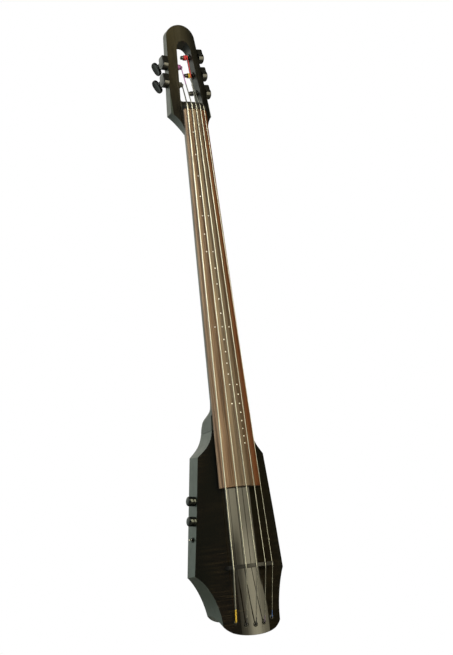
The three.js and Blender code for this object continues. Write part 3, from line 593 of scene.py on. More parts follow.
def smooth_rows(rows, steps):
    """Rows of numbers joined by smooth curves through them (cubic, no overshoot past neighbours)."""
    result = []
    for i in range(len(rows) - 1):
        r0, r1, r2, r3 = (rows[max(0, min(len(rows) - 1, i + k))] for k in (-1, 0, 1, 2))
        for s in range(steps):
            t = s / steps
            row = []
            for a, b, c, d in zip(r0, r1, r2, r3):
                m0, m1 = (c - a) / 2, (d - b) / 2
                limit = 1.5 * abs(c - b)
                m0, m1 = max(-limit, min(limit, m0)), max(-limit, min(limit, m1))
                t2, t3 = t * t, t ** 3
                row.append((2 * t3 - 3 * t2 + 1) * b + (t3 - 2 * t2 + t) * m0
                           + (-2 * t3 + 3 * t2) * c + (t3 - t2) * m1)
            result.append(tuple(row))
    result.append(rows[-1])
    return result


# ---- body
def front_arch(radius, crown, slope, z0, z1, around):
    ring = circle(radius, around, 0, radius + crown, math.pi / around)
    return loft([[(x, y + slope * z, z) for x, y in ring] for z in (z0, z1)])


def board_seat(z0, z1, margin):
    loops = []
    for z in (z0, z1):
        half, front = board_half(z) + margin, board_under(z) + GAP
        loops.append([(-half, -30, z), (half, -30, z), (half, front, z), (-half, front, z)])
    return loft(loops)


pocket_frame = wall_frame(-1, body_half(POCKET_MIDDLE), 0, POCKET_MIDDLE, BODY_TAPER)


def cover_frame_matrix():
    middle = pocket_frame @ Vector(((POCKET["a0"] + POCKET["a1"]) / 2, 0, 0))
    middle.y = BACK_AT_BRIDGE - BACK_TAPER * middle.z
    out = Vector((0, 1, BACK_TAPER)).normalized()
    up = Vector((BODY_TAPER, 0, 1))
    up = (up - out * up.dot(out)).normalized()
    return frame_of(out.cross(up), out, up, middle)


cover_frame = cover_frame_matrix()
COVER_SCREWS = [(-9, 61.5), (9, 61.5), (-9, -61.5), (9, -61.5)]
JACK_SPOT = (0, -44)
PLATE_SCREWS = [(-25, -29), (25, -29), (-25, 29), (25, 29)]


def cover_outline(shrink):
    w, l = COVER["width"] / 2 - shrink, COVER["length"] / 2 - shrink
    return rounded_box(-w, w, -l, l, COVER["corner"] - shrink)


def tail_curve(count):
    return bezier((0, TAIL_END), (32, TAIL_END), (60, -138.6), TAIL, count)


def tail_exit(k):
    x, z = TAIL_HOLES[k]
    curve = tail_curve(12)
    i = 0
    while curve[i + 1][0] < abs(x):
        i += 1
    p, q = curve[i], curve[i + 1]
    low = lerp(p[1], q[1], (abs(x) - p[0]) / (q[0] - p[0]))
    n = next(i for i, (_, rise) in enumerate(TAIL_RISE) if rise >= z - low)
    (y0, rise0), (y1, rise1) = TAIL_RISE[n - 1], TAIL_RISE[n]
    return lerp(y0, y1, (z - low - rise0) / (rise1 - rise0))


def tail_face(k):
    return body_front(*TAIL_HOLES[k])


def tail_hole(k):
    x, z = TAIL_HOLES[k]
    face, way_out = tail_face(k), tail_exit(k)
    profile = [(face - 10, 4.9), (face + 1.9, 4.9), (face + 1.9, 3.9), (face + 10, 3.9),
               (face + 10, 2.5), (way_out - 14, 2.5), (way_out - 14, 4.2), (way_out + 8, 4.2)]
    return peg(profile, 32, x, z)


def control_frame(depth, z):
    return wall_frame(-1, body_half(z), depth, z, BODY_TAPER)


def control_hole(depth, z, radius):
    return moved(turned([(-POCKET_WALL - 3, radius), (3, radius)], 32), control_frame(depth, z))


def build_body():
    upper = bezier(HORN, (66, 262), (50, 272), (47.3, 318), 26)
    lower = bezier((TAIL[0], -121.5), (70.6, -80), (88, -30), HIP, 26)
    outline = mirrored([(TAIL[0], -165)] + lower + upper + [(46.2, 352)])
    blank = loft([[(x, y, z + (HORN_LIFT * (y - 50) if z > HORN[1] - 1 else 0)) for x, z in outline]
                  for y in (-5, 140)])
    tail = mirrored(tail_curve(28) + [(200, 60), (200, 420), (0, 420)])
    tail_block = loft([[(x, y, z + rise) for x, z in tail] for y, rise in smooth_rows(TAIL_RISE, 3)])
    back = [(-5, -180), (BODY_BACK, -180), (BODY_BACK, BACK_KNEE),
            (BACK_AT_BRIDGE - BACK_TAPER * 360, 360), (-5, 360)]
    cuts = [
        board_seat(BOARD_END - 0.5, SEAM + 60, 30),
        block(-TENON["half"] - GAP, TENON["half"] + GAP, 0, TENON["back"] + GAP, TENON["low"] - GAP,
              SEAM + 60),
        block(-200, 200, -50, 200, SEAM, 500),
        moved(block(POCKET["a0"], POCKET["a1"], POCKET["front"], 140, POCKET["step"], POCKET["high"]),
              pocket_frame),
        moved(block(POCKET["a0"], POCKET["a1"], POCKET["low_front"], 140, POCKET["low"], POCKET["step"] + 1),
              pocket_frame),
        moved(loft([[(a, b, c) for a, c in cover_outline(0)] for b in (-COVER["thickness"] - GAP, 12)]),
              cover_frame),
    ]
    cuts += [tail_hole(k) for k in range(5)]
    cuts += [control_hole(CONTROL_DEPTH, z, 3.8) for z in KNOB_HEIGHTS]
    cuts.append(control_hole(*TOGGLE, 3.3))
    cuts += [moved(turned([(-12, 1.7), (1, 1.7)], 16, "y"), cover_frame @ Matrix.Translation((a, 0, c)))
             for a, c in COVER_SCREWS]
    cuts += [peg([(BODY_BACK - 22.5, 2.3), (BODY_BACK + 5, 2.3)], 16, x, PLATE["middle"] + c)
             for x, c in PLATE_SCREWS]
    arch = front_arch(BODY_ARCH, BODY_CROWN, -BODY_CROWN_RISE, -200, 380, 220)
    return carve(blank, keep=[tail_block, arch, across_x(back, -150, 150)], cut=cuts)


piece("bass_body", build_body(), "body", "body_lacquer", materials=[WALL, FRONT],
      choose=lambda f: 1 if f.normal.y < -0.55 else 0, bevel=0.8, segments=3, crease=24, rim=0.4,
      merge=False)


# ---- neck and head
NECK_SECTIONS = [
    (SEAM + GAP, 49.7, 86.1, 200), (311, 48.9, 85, 60), (319, 48.3, 84.2, 22), (325, 47.9, 83, 14),
    (330, 47.5, 80.4, 8.5), (335, 47.1, 75, 5), (339, 46.8, 69, 3.6), (343, 46.6, 63.4, 2.8),
    (347, 46.4, 60.2, 2.4), (352, 46.1, 58.7, 2.2), (365, None, 58.2, 2), (420, None, 57.5, 2),
    (560, None, 54.6, 2), (730, None, 50.3, 2), (850, None, 45, 2), (960, None, 43, 2),
    (1010, None, 43.6, 2), (1036, None, 47, 2), (1056, 28.3, 50.4, 2.2), (1072, 28.3, 51.2, 2.6),
]


def neck_loop(z, half, back, power):
    front = board_under(min(z, SCALE)) + GAP
    points = []
    count = 40
    for i in range(count + 1):
        angle = math.pi * i / count
        c, s = math.cos(angle), math.sin(angle) if i < count else 0.0
        points.append((half * math.copysign(abs(c) ** (2 / power), c),
                       front + (back - front) * s ** (2 / power), z))
    return points


def slot_loop(y, drop):
    def half(z):
        return head_half(z) - RAIL - 0.3
    top = SLOT_TOP - drop
    curve = bezier((half(top - 22), top - 22), (half(top - 22) - 1.5, top - 7), (9, top), (0, top), 18)
    low = [(half(SLOT_BOTTOM) - 5, SLOT_BOTTOM), (half(SLOT_BOTTOM) - 3, SLOT_BOTTOM + 0.3),
           (half(SLOT_BOTTOM) - 1.2, SLOT_BOTTOM + 1.2), (half(SLOT_BOTTOM) - 0.3, SLOT_BOTTOM + 3),
           (half(SLOT_BOTTOM), SLOT_BOTTOM + 5)]
    return [(x, y, z) for x, z in mirrored(low + curve)]


def tuner_frame(t):
    spot = wall_frame(t["side"], head_half(t["z"]), POST_DEPTH, t["z"], HEAD_TAPER)
    a = spot.col[0].xyz
    b = (Vector((0, 1, -HEAD_TILT)) + a * (HEAD_TILT * a.z)).normalized()
    c = a.cross(b) * t["side"]
    return frame_of(a, b, c, spot.col[3].xyz)


ROD = dict(half=3, depth=9, low=392, high=1044)


def rod_block(grow, z0, z1):
    def front(z):
        return board_under(z) + GAP + 0.4 - (8 if grow > 0 else 0)

    def back(z):
        return board_under(z) + GAP + 0.4 + ROD["depth"] + grow
    outline = [(front(z0), z0), (back(z0), z0), (back(z1), z1), (front(z1), z1)]
    return across_x(outline, -ROD["half"] - grow, ROD["half"] + grow)


def build_neck():
    side = bezier((29.2, 1002), (33, 1035), (47, 1050), (HEAD_HALF, HEAD_BASE), 24)
    shoulder = head_half(HEAD_SHOULDER)
    top = bezier((shoulder, HEAD_SHOULDER), (shoulder - 1.2, 1279), (20, HEAD_TOP), (0, HEAD_TOP), 24)
    head_back = bezier((31, 1012), (38, 1022), (48, 1041), (HEAD_BACK, 1056), 10)
    back = [(0, 1000), (24, 1000)] + head_back + [(HEAD_BACK, 1300), (0, 1300)]
    slot = loft([slot_loop(5, -4), slot_loop(60, 14)])
    arch = front_arch(HEAD_ARCH, HEAD_CROWN - HEAD_TILT * SCALE, HEAD_TILT, 990, 1310, 160)
    nut_seat = block(-29.3, 29.3, -20, board_under(SCALE) + GAP, SCALE - 1, SCALE + GAP + NUT_LENGTH + GAP)
    head = carve(slab(mirrored(side + top), 0, 60), keep=[across_x(back, -80, 80), arch],
                 cut=[slot, board_seat(990, SCALE, 0.4), nut_seat])
    rows = [(z, half if half is not None else board_half(z) - 0.7, depth, power)
            for z, half, depth, power in NECK_SECTIONS]
    stem = loft([neck_loop(*row) for row in smooth_rows(rows, 4)])
    heel_front = carve(across_x([(-20, 200), (60, 200), (60, 322), (-20, 352)], -70, 70),
                       cut=[front_arch(BODY_ARCH, BODY_CROWN, -BODY_CROWN_RISE, 150, 380, 220)])
    holes = [moved(turned([(-RAIL - 5, 6.5), (5, 6.5)], 32), tuner_frame(t)) for t in TUNERS]
    return carve(stem, add=[head, block(-TENON["half"], TENON["half"], board_under(SEAM) + 3, TENON["back"],
                                        TENON["low"], SEAM + 10)],
                 cut=[rod_block(GAP, ROD["low"] - GAP, ROD["high"] + GAP), heel_front, slot] + holes)


def neck_face(f):
    if f.center.z < 1.12:
        return 0
    if f.normal.y < -0.6 and f.center.y < -0.09:
        return 1
    # Faces inside the slot take the third material, a darker satin that is the slot's painted shade.
    inside = abs(f.center.x) < 0.0325 and 1.13 < f.center.z < 1.303 and abs(f.normal.y) < 0.6
    return 2 if inside else 0


piece("neck_with_head", build_neck(), "neck_and_head", "neck_satin", materials=[NECK, FACE, SLOT_SHADE],
      choose=neck_face, crease=26, merge=False)
piece("truss_rod_bar", rod_block(0, ROD["low"], ROD["high"]), "truss_rod", "plain_steel", bevel=0.5)


# ---- fingerboard, dots and nut
def arched_loop(half, crown, radius, under, z, steps):
    across = [lerp(half, -half, i / steps) for i in range(steps + 1)]
    points = [(x, crown + sag(radius, x), z) for x in across]
    return points + [(-half, under, z), (half, under, z)]


piece("board", loft([arched_loop(BOARD_HALF[i], BOARD_CROWN[i], BOARD_ARCH[i], BOARD_UNDER[i], z, 60)
                     for i, z in enumerate((BOARD_END, SCALE))]),
      "fingerboard", "board_rosewood", bevel=0.7, segments=3, crease=30)


def nut_x(k):
    return (k - 2) * NUT_PITCH


def nut_y(k):
    return BOARD_CROWN[1] + sag(BOARD_ARCH[1], nut_x(k)) - 0.9 - STRING_RADII[k]


def bridge_x(k):
    return (k - 2) * BRIDGE_PITCH


def bridge_y(k):
    return sag(BRIDGE_ARCH, bridge_x(k))


def string_grooves(z0, z1, x_of, y_of):
    return [shift(turned([(z0, r + GAP), (z1, r + GAP)], 24, "z"), x_of(k), y_of(k), 0)
            for k, r in enumerate(STRING_RADII)]


def build_dots():
    """Small round inlays that mark the notes, lying on the arch of the board."""
    marks = [(n, -1.22) for n in (1, 2, 3, 4, 5, 6, 7, 12)]
    marks += [(n, -0.22) for n in (5, 7, 8, 9, 10, 11, 12, 13, 14, 15, 16, 17, 19)]
    marks += [(n, 0.78) for n in (12, 17, 18, 19, 20, 21, 22, 23, 24)]
    radius, proud, rings = 1.35, 0.07, 20
    verts, faces = [], []
    for n, pitch in marks:
        z = SCALE * 2 ** (-n / 12)
        share = z / SCALE
        x = pitch * lerp(BRIDGE_PITCH, NUT_PITCH, share)
        for lift, r in ((-0.25, radius), (proud * 0.5, radius), (proud, radius * 0.8)):
            for u, v in circle(r, rings, x, z):
                verts.append((u, board_front(u, v) - lift, v))
        first = len(verts) - 3 * rings
        for k in (0, 1):
            for i in range(rings):
                j = (i + 1) % rings
                low = first + k * rings
                faces.append((low + i, low + j, low + rings + j, low + rings + i))
        faces.append(tuple(first + i for i in reversed(range(rings))))
        faces.append(tuple(first + 2 * rings + i for i in range(rings)))
    return mesh_of(verts, faces)


piece("position_dots", build_dots(), materials=[PEARL])

NUT_Z = (SCALE + GAP, SCALE + GAP + NUT_LENGTH)
nut_stock = loft([arched_loop(28.7, -0.4 + 1.2 * i, BOARD_ARCH[1], BOARD_UNDER[1], z, 48)
                  for i, z in enumerate(NUT_Z)])
piece("string_nut", carve(nut_stock, cut=string_grooves(NUT_Z[0] - 5, NUT_Z[1] + 5, nut_x, nut_y)),
      "nut", "black_fittings", bevel=0.5)


# ---- bridge
def pickup_block(side, grow, back):
    middle, half, deep = side * PICKUP["x"], PICKUP["half"] + grow, PICKUP["deep"] + grow
    return block(middle - half, middle + half, PICKUP["front"] - grow, back, -deep, deep)


def build_bridge():
    half = 56
    top = [(x, 0.3 + sag(BRIDGE_ARCH, x)) for x in (lerp(-half, half, i / 60) for i in range(61))]
    low = [(x, body_front(x, 0) - GAP - 0.25)
           for x in (lerp(half - 1.5, -half + 1.5, i / 40) for i in range(41))]
    window = mirrored(bezier((30, 60), (30, 34), (22, 16), (0, 16), 20))
    pockets = [pickup_block(s, GAP, 50) for s in (-1, 1)]
    grooves = string_grooves(-9, 9, bridge_x, bridge_y)
    stock = up_z(top + low, -BRIDGE_THICK / 2, BRIDGE_THICK / 2)
    return carve(stock, cut=[up_z(window, -20, 20)] + pockets + grooves)


piece("arched_bridge", build_bridge(), "bridge", "bridge_black", bevel=0.6, segments=3)
for s, word in ((-1, "bass"), (1, "treble")):
    piece("pickup_wafer_" + word, pickup_block(s, 0, PICKUP["back"]), "bridge_pickup_" + word, "piezo_brass",
          bevel=0.3)

# ---- strings
COIL_STEPS = 8
COIL_FINE = 28
THINNING = 0.75  # radius of a string's end on its post, as a share of the string's
STRING_SIDES = 12
LONGEST_RUN = 12
TAIL_SILK = ["yellow", "dark", "dark", "plum", "blue"]
HEAD_SILK = ["grey", "violet", "red", "yellow", "dark"]
HEAD_SILK_LENGTH = [20, 60, 60, 16, 30]
TAIL_SILK_LENGTH = [22, 10, 10, 14, 9]


def rounded(corners, steps=6):
    points = []
    for i, (at, soft) in enumerate(corners):
        if not soft:
            points.append(at)
            continue
        last, after = corners[i - 1][0], corners[i + 1][0]
        start = at.lerp(last, soft / (at - last).length)
        end = at.lerp(after, soft / (at - after).length)
        for n in range(steps + 1):
            t = n / steps
            points.append(start * (1 - t) ** 2 + at * (2 * t * (1 - t)) + end * t * t)
    return points


def string_path(tuner):
    k = tuner["string"]
    r = STRING_RADII[k]
    thin = r * THINNING
    way_out = tail_exit(k)
    hx, hz = TAIL_HOLES[k]
    rest = BRIDGE_THICK / 2 + 0.5
    corners = [
        (Vector((hx, tail_face(k) - 3.2, hz)), 2.6),
        (Vector((bridge_x(k), bridge_y(k), -rest)), 1.5),
        (Vector((bridge_x(k), bridge_y(k), rest)), 1.5),
        (Vector((nut_x(k), nut_y(k), NUT_Z[0] - 1.5)), 1.2),
        (Vector((nut_x(k), nut_y(k), NUT_Z[1] + 1)), 1.2),
    ]
    spot = tuner_frame(tuner)
    axis, front, up = spot.col[0].xyz, -spot.col[1].xyz, spot.col[2].xyz
    centre = spot.col[3].xyz + axis * ((tuner["leave"] - spot.col[3].x) / axis.x)
    reach = (POST_RADIUS + 0.2 + thin) / math.cos(math.pi / COIL_STEPS)
    last = corners[-1][0]
    dy, dz = centre.y - last.y, centre.z - last.z
    heading = math.atan2(dz, dy) + math.asin(reach / math.hypot(dy, dz))
    start = math.atan2(math.cos(heading), math.sin(heading)) - HEAD_TILT
    pitch = 2 * thin + 0.3
    coil = []
    for i in range(tuner["turns"] * COIL_FINE + 1):
        turn = i / COIL_FINE
        angle = start + 2 * math.pi * turn
        along = max(turn - 1 / COIL_STEPS, 0) * pitch * tuner["step"] * tuner["side"]
        snug = lerp(reach, POST_RADIUS + 0.12 + thin, min(1, turn * 4))
        coil.append(centre + axis * along + front * (snug * math.cos(angle)) + up * (snug * math.sin(angle)))
    ends = [(Vector((hx, way_out - 5, hz)), 0)] + corners + [(coil[0], 0)]
    middle = rounded(ends)[1:-1]
    ball = [(way_out - 6, 3.2), (way_out - 11.8, 3.2), (way_out - 12.3, r)]
    points = [Vector((hx, y, hz)) for y, _ in ball] + middle + coil
    radii = [width for _, width in ball] + [r] * len(middle) + [thin] * len(coil)
    return points, radii, len(ball), len(middle)


def subdivide(points, radii, longest):
    """Extra points on the long straight runs, so that the silk can end inside one."""
    out, out_radii = [points[0]], [radii[0]]
    for a, b, ra, rb in zip(points, points[1:], radii, radii[1:]):
        count = max(1, math.ceil((b - a).length / longest))
        for n in range(1, count + 1):
            out.append(a.lerp(b, n / count))
            out_radii.append(lerp(ra, rb, n / count))
    return out, out_radii


for tuner in TUNERS:
    k = tuner["string"]
    name = STRING_NAMES[k]
    raw, raw_radii, ball_count, middle_count = string_path(tuner)
    nut_end = raw[ball_count + middle_count - 1]
    points, radii = subdivide(raw, raw_radii, LONGEST_RUN)
    tail_z = TAIL_HOLES[k][1] + TAIL_SILK_LENGTH[k]
    head_z = max(tuner["z"] - HEAD_SILK_LENGTH[k], nut_end.z + 3)

    def winding(f, tail_z=tail_z, head_z=head_z):
        z = f.center.z * 1000 - 50
        if z < tail_z:
            return 1
        return 2 if z > head_z else 0

    piece("string_%s_wound" % name, tube(points, radii, STRING_SIDES), "string_" + name, "string_steel",
          materials=[WOUND, SILKS[TAIL_SILK[k]], SILKS[HEAD_SILK[k]]], choose=winding, crease=50, merge=False)

# ---- tail ferrules
for k, (x, z) in enumerate(TAIL_HOLES):
    face = tail_face(k)
    ring = carve(turned([(face - 1, 3.9), (face - 0.85, 4.2), (face - 0.5, 4.45), (face - 0.1, 4.5),
                         (face + 1.5, 4.5), (face + 1.5, 3.6), (face + 9.5, 3.6)], 40, "y"),
                 cut=[turned([(face - 5, 3.2), (face - 1, 2.9), (face - 0.5, 2.5), (face + 2, 2.3),
                              (face + 12, 2.3)], 32, "y")])
    piece("tail_ring_" + STRING_NAMES[k], shift(ring, x, 0, z), "tail_ferrule_" + STRING_NAMES[k],
          "tuner_black")


# ---- tuners
def gear_outline(teeth, tip, root):
    points = []
    for i in range(teeth):
        for share, r in ((0, root), (0.32, tip), (0.68, tip)):
            angle = 2 * math.pi * (i + share) / teeth
            points.append((r * math.cos(angle), r * math.sin(angle)))
    return points


def along_a(outline, a0, a1):
    return loft([[(a, b, c) for b, c in outline] for a in (a0, a1)])


HOUSING = dict(out=14, front=-9.5, back=13, low=-4, high=22, corner=5)
BARREL = 12.8


def housing_loop(shrink, a):
    h = HOUSING
    return [(a, b, c) for b, c in rounded_box(h["front"] + shrink, h["back"] - shrink, h["low"] + shrink,
                                              h["high"] - shrink, h["corner"] - shrink * 0.6, 10)]


def build_housing():
    """Round cover over the worm wheel under a rounded block over the worm."""
    out = HOUSING["out"]
    rim = [(0, GAP), (0, out - 1.8)]
    rim += [(1.8 * (1 - math.cos(t)), out - 1.8 * (1 - math.sin(t)))
            for t in (math.pi / 2 * n / 6 for n in range(1, 7))]
    shell = loft([housing_loop(shrink, a) for shrink, a in rim])
    curve = [(out - 2.7 + 2.6 * math.sin(t), BARREL - 2.4 * (1 - math.cos(t)))
             for t in (math.pi / 2 * n / 7 for n in range(8))]
    barrel = turned([(GAP, BARREL)] + curve, 72)
    return carve(shell, add=[barrel], cut=[
        turned([(-1, 9), (GEAR_PLANE + 4, 9)], 36),
        peg([(-8.2, 3.8), (11.4, 3.8)], 24, GEAR_PLANE, WORM_OFFSET),
        peg([(11, 2.7), (16, 2.7)], 24, GEAR_PLANE, WORM_OFFSET)])


def build_post(reach):
    end = -RAIL - reach
    rod = turned([(end, POST_RADIUS - 1.2), (end + 0.25, POST_RADIUS - 0.5), (end + 0.8, POST_RADIUS),
                  (GEAR_PLANE + 2.8, POST_RADIUS), (GEAR_PLANE + 3.4, POST_RADIUS - 1.4)], 36)
    return carve(rod, add=[along_a(gear_outline(GEAR_TEETH, 7.9, 6.9), GEAR_PLANE - 2.5, GEAR_PLANE + 2.5)])


def build_bushing():
    sleeve = turned([(-RAIL - 2.3, 6.6), (-RAIL - 2.2, 7.4), (-RAIL - 1.6, 8.6), (-RAIL - 1.1, 8.95),
                     (-RAIL - GAP, 9), (-RAIL - GAP, 6.2), (-0.2, 6.2)], 40)
    return carve(sleeve, cut=[turned([(-RAIL - 5, POST_RADIUS + 0.4), (3, POST_RADIUS + 0.4)], 40)])


def build_worm():
    profile = [(-7.9, 2.2), (-6.4, 2.2)]
    for i in range(4):
        b = -6 + i * 3
        profile += [(b, 2.4), (b + 1.2, 3.1), (b + 1.8, 3.1)]
    profile += [(6, 2.4), (6.4, 2.2), (28, 2.2)]
    return peg(profile, 24, GEAR_PLANE, WORM_OFFSET)


KEY_MIDDLE = 41.5


def build_key(angle):
    """Oval wing, a little hollow on both faces, on a tapering stem."""
    def oval(shrink, a):
        points = []
        for i in range(56):
            t = 2 * math.pi * i / 56
            c, s = math.cos(t), math.sin(t)
            points.append((a, KEY_MIDDLE + (11.5 - shrink) * math.copysign(abs(c) ** 0.82, c),
                           (17 - shrink) * math.copysign(abs(s) ** 0.82, s)))
        return points
    rim = [(9, 2.3), (6.5, 2.5), (4.2, 3.05), (2.6, 3.45), (1.7, 3.5), (0.9, 3.2), (0.3, 2.4), (0, 1.2)]
    wing = loft([oval(s, -a) for s, a in rim] + [oval(0, 0)] + [oval(s, a) for s, a in reversed(rim)])
    stem = turned([(13.6, 4.6), (13.8, 4.85), (14.3, 4.9), (16, 4.9), (20, 4.4), (32, 3.4)], 32, "y")
    key = carve(stem, add=[wing], cut=[turned([(10, 2.5), (28.4, 2.5)], 24, "y")])
    return shift(moved(key, Matrix.Rotation(math.radians(angle), 4, "Y")), GEAR_PLANE, 0, WORM_OFFSET)


for tuner in TUNERS:
    spot = tuner_frame(tuner)
    name = STRING_NAMES[tuner["string"]]
    for word, mesh, body, slot, options in (
            ("housing", build_housing(), ROOT, "tuner_black", dict(bevel=0.4)),
            ("bushing", build_bushing(), ROOT, "tuner_black", {}),
            ("post", build_post(tuner["reach"]), "post_" + name, "tuner_black", {}),
            ("worm", build_worm(), "winder_" + name, "plain_steel", {}),
            ("key", build_key(tuner["key"]), "winder_" + name, "tuner_black", dict(crease=40))):
        piece("gear_%s_%s" % (word, name), moved(mesh, spot), "tuner_%s_%s" % (word, name), slot, body,
              **options)

# ---- controls
POT = dict(body=7, thick=9, bush=3.5, nose=4)
for z, word in zip(KNOB_HEIGHTS, ("volume", "tone")):
    spot = control_frame(CONTROL_DEPTH, z)
    wall = -POCKET_WALL - GAP
    pot = carve(turned([(wall - POT["thick"], POT["body"] - 0.6), (wall - POT["thick"] + 0.6, POT["body"]),
                        (wall, POT["body"]), (wall, POT["bush"]), (POT["nose"], POT["bush"])], 36),
                cut=[turned([(wall - 5, 2.1), (POT["nose"] + 2, 2.1)], 24)])
    piece(word + "_control_pot", moved(pot, spot), word + "_pot", "plain_steel")
    cap_profile = [(1, 10.3), (1.2, 10.65), (1.5, 10.8), (5.5, 10.8), (5.7, 10.7), (5.85, 10.3), (6.55, 10.3),
                   (6.7, 10.7), (6.9, 10.8), (13.4, 10.8), (14.8, 10.6), (16, 10.1), (16.9, 9.3), (17.6, 7.9),
                   (17.95, 5.4), (18, 2)]
    cap = carve(turned(cap_profile, 64), cut=[turned([(0, 4.2), (6, 4.2)], 32)])
    knob = carve(cap, add=[turned([(wall - 4.5, 1.7), (8, 1.7)], 24)])
    piece(word + "_dome_knob", moved(knob, spot), word + "_knob", "black_chrome", word + "_control",
          crease=40)

toggle_spot = control_frame(*TOGGLE)
switch = carve(shift(block(-10, 0, -4, 4, -6.5, 6.5), -POCKET_WALL - GAP, 0, 0),
               add=[turned([(-POCKET_WALL - 1, 3), (3.7, 3), (4, 2.8)], 32),
                    turned([(GAP, 6.2), (2.3, 6.2), (2.8, 5.4)], 6)],
               cut=[turned([(-POCKET_WALL, 2.25), (0.5, 2.25), (5, 2.75)], 32)])
piece("switch_housing", moved(switch, toggle_spot), "toggle_body", "black_chrome", bevel=0.15)
lever = turned([(-2, 1.1), (0.6, 1.3), (1.1, 1.9), (1.5, 2.05), (2, 2.1), (2.5, 2.05), (2.9, 1.9), (3.6, 1.2),
                (6, 1.35), (9, 1.8), (10.2, 1.75), (11, 1.4), (11.4, 0.8)], 28)
piece("switch_bat", moved(lever, toggle_spot), "toggle_lever", "bright_chrome", "switch_lever", crease=60)


# ---- back cover, jack, screws and stand plate
def in_cover(mesh, a, c):
    return moved(shift(mesh, a, 0, c), cover_frame)


cover = carve(loft([[(a, b, c) for a, c in cover_outline(GAP)] for b in (-COVER["thickness"], 0)]),
              cut=[peg([(-4, 5.2), (2, 5.2)], 40, *JACK_SPOT)]
              + [peg([(-4, 1.7), (2, 1.7)], 24, a, c) for a, c in COVER_SCREWS])
piece("rear_cover", moved(cover, cover_frame), "control_cover", "cover_plastic", bevel=0.35)
jack = carve(turned([(-20, 4.8), (GAP, 4.8), (GAP, 7.9), (1.9, 8), (2.4, 7.8), (2.8, 7.3)], 48, "y"),
             cut=[turned([(-18, 3.6), (2.4, 3.6), (3.2, 4)], 36, "y")])
piece("jack_socket", in_cover(jack, *JACK_SPOT), "output_jack", "bright_chrome")


def cross_recess(y0, y1, size):
    arm = size * 0.22
    return [block(-size, size, y0, y1, -arm, arm), block(-arm, arm, y0, y1, -size, size)]


def pan_screw(length, shank, head, rise):
    top = rise + GAP
    stock = turned([(-length, shank), (GAP, shank), (GAP, head), (top - rise * 0.45, head),
                    (top - rise * 0.15, head * 0.86), (top, head * 0.6)], 28, "y")
    return carve(stock, cut=cross_recess(top - 0.9, top + 1, head * 0.55))


for i, (a, c) in enumerate(COVER_SCREWS):
    piece("cover_pan_screw_%d" % (i + 1), in_cover(pan_screw(11, 1.35, 3, 1.6), a, c),
          "cover_screw_%d" % (i + 1), "plain_steel")

PLATE_FACE = BODY_BACK + GAP + PLATE["thickness"]
plate = slab(rounded_box(-PLATE["width"] / 2, PLATE["width"] / 2, PLATE["middle"] - PLATE["height"] / 2,
                         PLATE["middle"] + PLATE["height"] / 2, 8, 10), BODY_BACK + GAP, PLATE_FACE)
countersink = [(-8, 2.4), (-2.6, 2.4), (-0.4, 4.6), (3, 4.6)]
plate = carve(plate, cut=[peg(countersink, 32, x, PLATE["middle"] + c, PLATE_FACE) for x, c in PLATE_SCREWS])
piece("rear_stand_plate", plate, "stand_plate", "plain_steel", bevel=0.4)
for i, (x, c) in enumerate(PLATE_SCREWS):
    flat = carve(turned([(-22, 2), (-2.8, 2), (-0.8, 4.2), (-0.4, 4.2)], 28, "y"),
                 cut=cross_recess(-1.6, 1, 2.3))
    piece("plate_flat_screw_%d" % (i + 1), shift(flat, x, PLATE_FACE, PLATE["middle"] + c),
          "plate_screw_%d" % (i + 1), "plain_steel")


# ======== camera
VIEW_TURN = 29.36  # angles in degrees: camera to the left of the front, lift, swing and roll
VIEW_LIFT = 13.14
VIEW_SWING = 0.06
VIEW_ROLL = -7.49
VIEW_FROM = (-1.2413, -2.3281, -0.0149)
VIEW_LENS = 63.6


def bearing(basis, degrees, a, b):
    """Turns basis vector a towards basis vector b by an angle."""
    c, s = math.cos(math.radians(degrees)), math.sin(math.radians(degrees))
    va, vb = basis[a], basis[b]
    basis[a], basis[b] = va * c + vb * s, vb * c - va * s


def add_camera():
    view = {"forward": Vector((0, 1, 0)), "right": Vector((1, 0, 0)), "up": Vector((0, 0, 1))}
    bearing(view, VIEW_TURN, "forward", "right")
    bearing(view, VIEW_LIFT, "forward", "up")
    bearing(view, VIEW_SWING, "forward", "right")
    bearing(view, VIEW_ROLL, "right", "up")
    data = bpy.data.cameras.new("camera")
    data.lens = VIEW_LENS
    data.sensor_width = 36
    data.clip_start = 0.05
    data.clip_end = 60
    camera = add_object("camera", data)
    camera.matrix_world = frame_of(view["right"], view["up"], -view["forward"], Vector(VIEW_FROM))
    bpy.context.scene.camera = camera


add_camera()


# ======== light and floor
def softbox(name, place, target, size, radiance, tint=(1, 1, 1)):
    """Rectangular studio light facing a point; radiance is its brightness as seen in a mirror."""
    data = bpy.data.lights.new(name, "AREA")
    data.shape = "RECTANGLE"
    data.size, data.size_y = size
    data.energy = radiance * math.pi * size[0] * size[1]
    data.color = tint
    lamp = add_object(name, data)
    way = (Vector(target) - Vector(place)).normalized()
    lamp.matrix_world = Matrix.Translation(place) @ way.to_track_quat("-Z", "Y").to_matrix().to_4x4()
    lamp.visible_camera = False
    return lamp


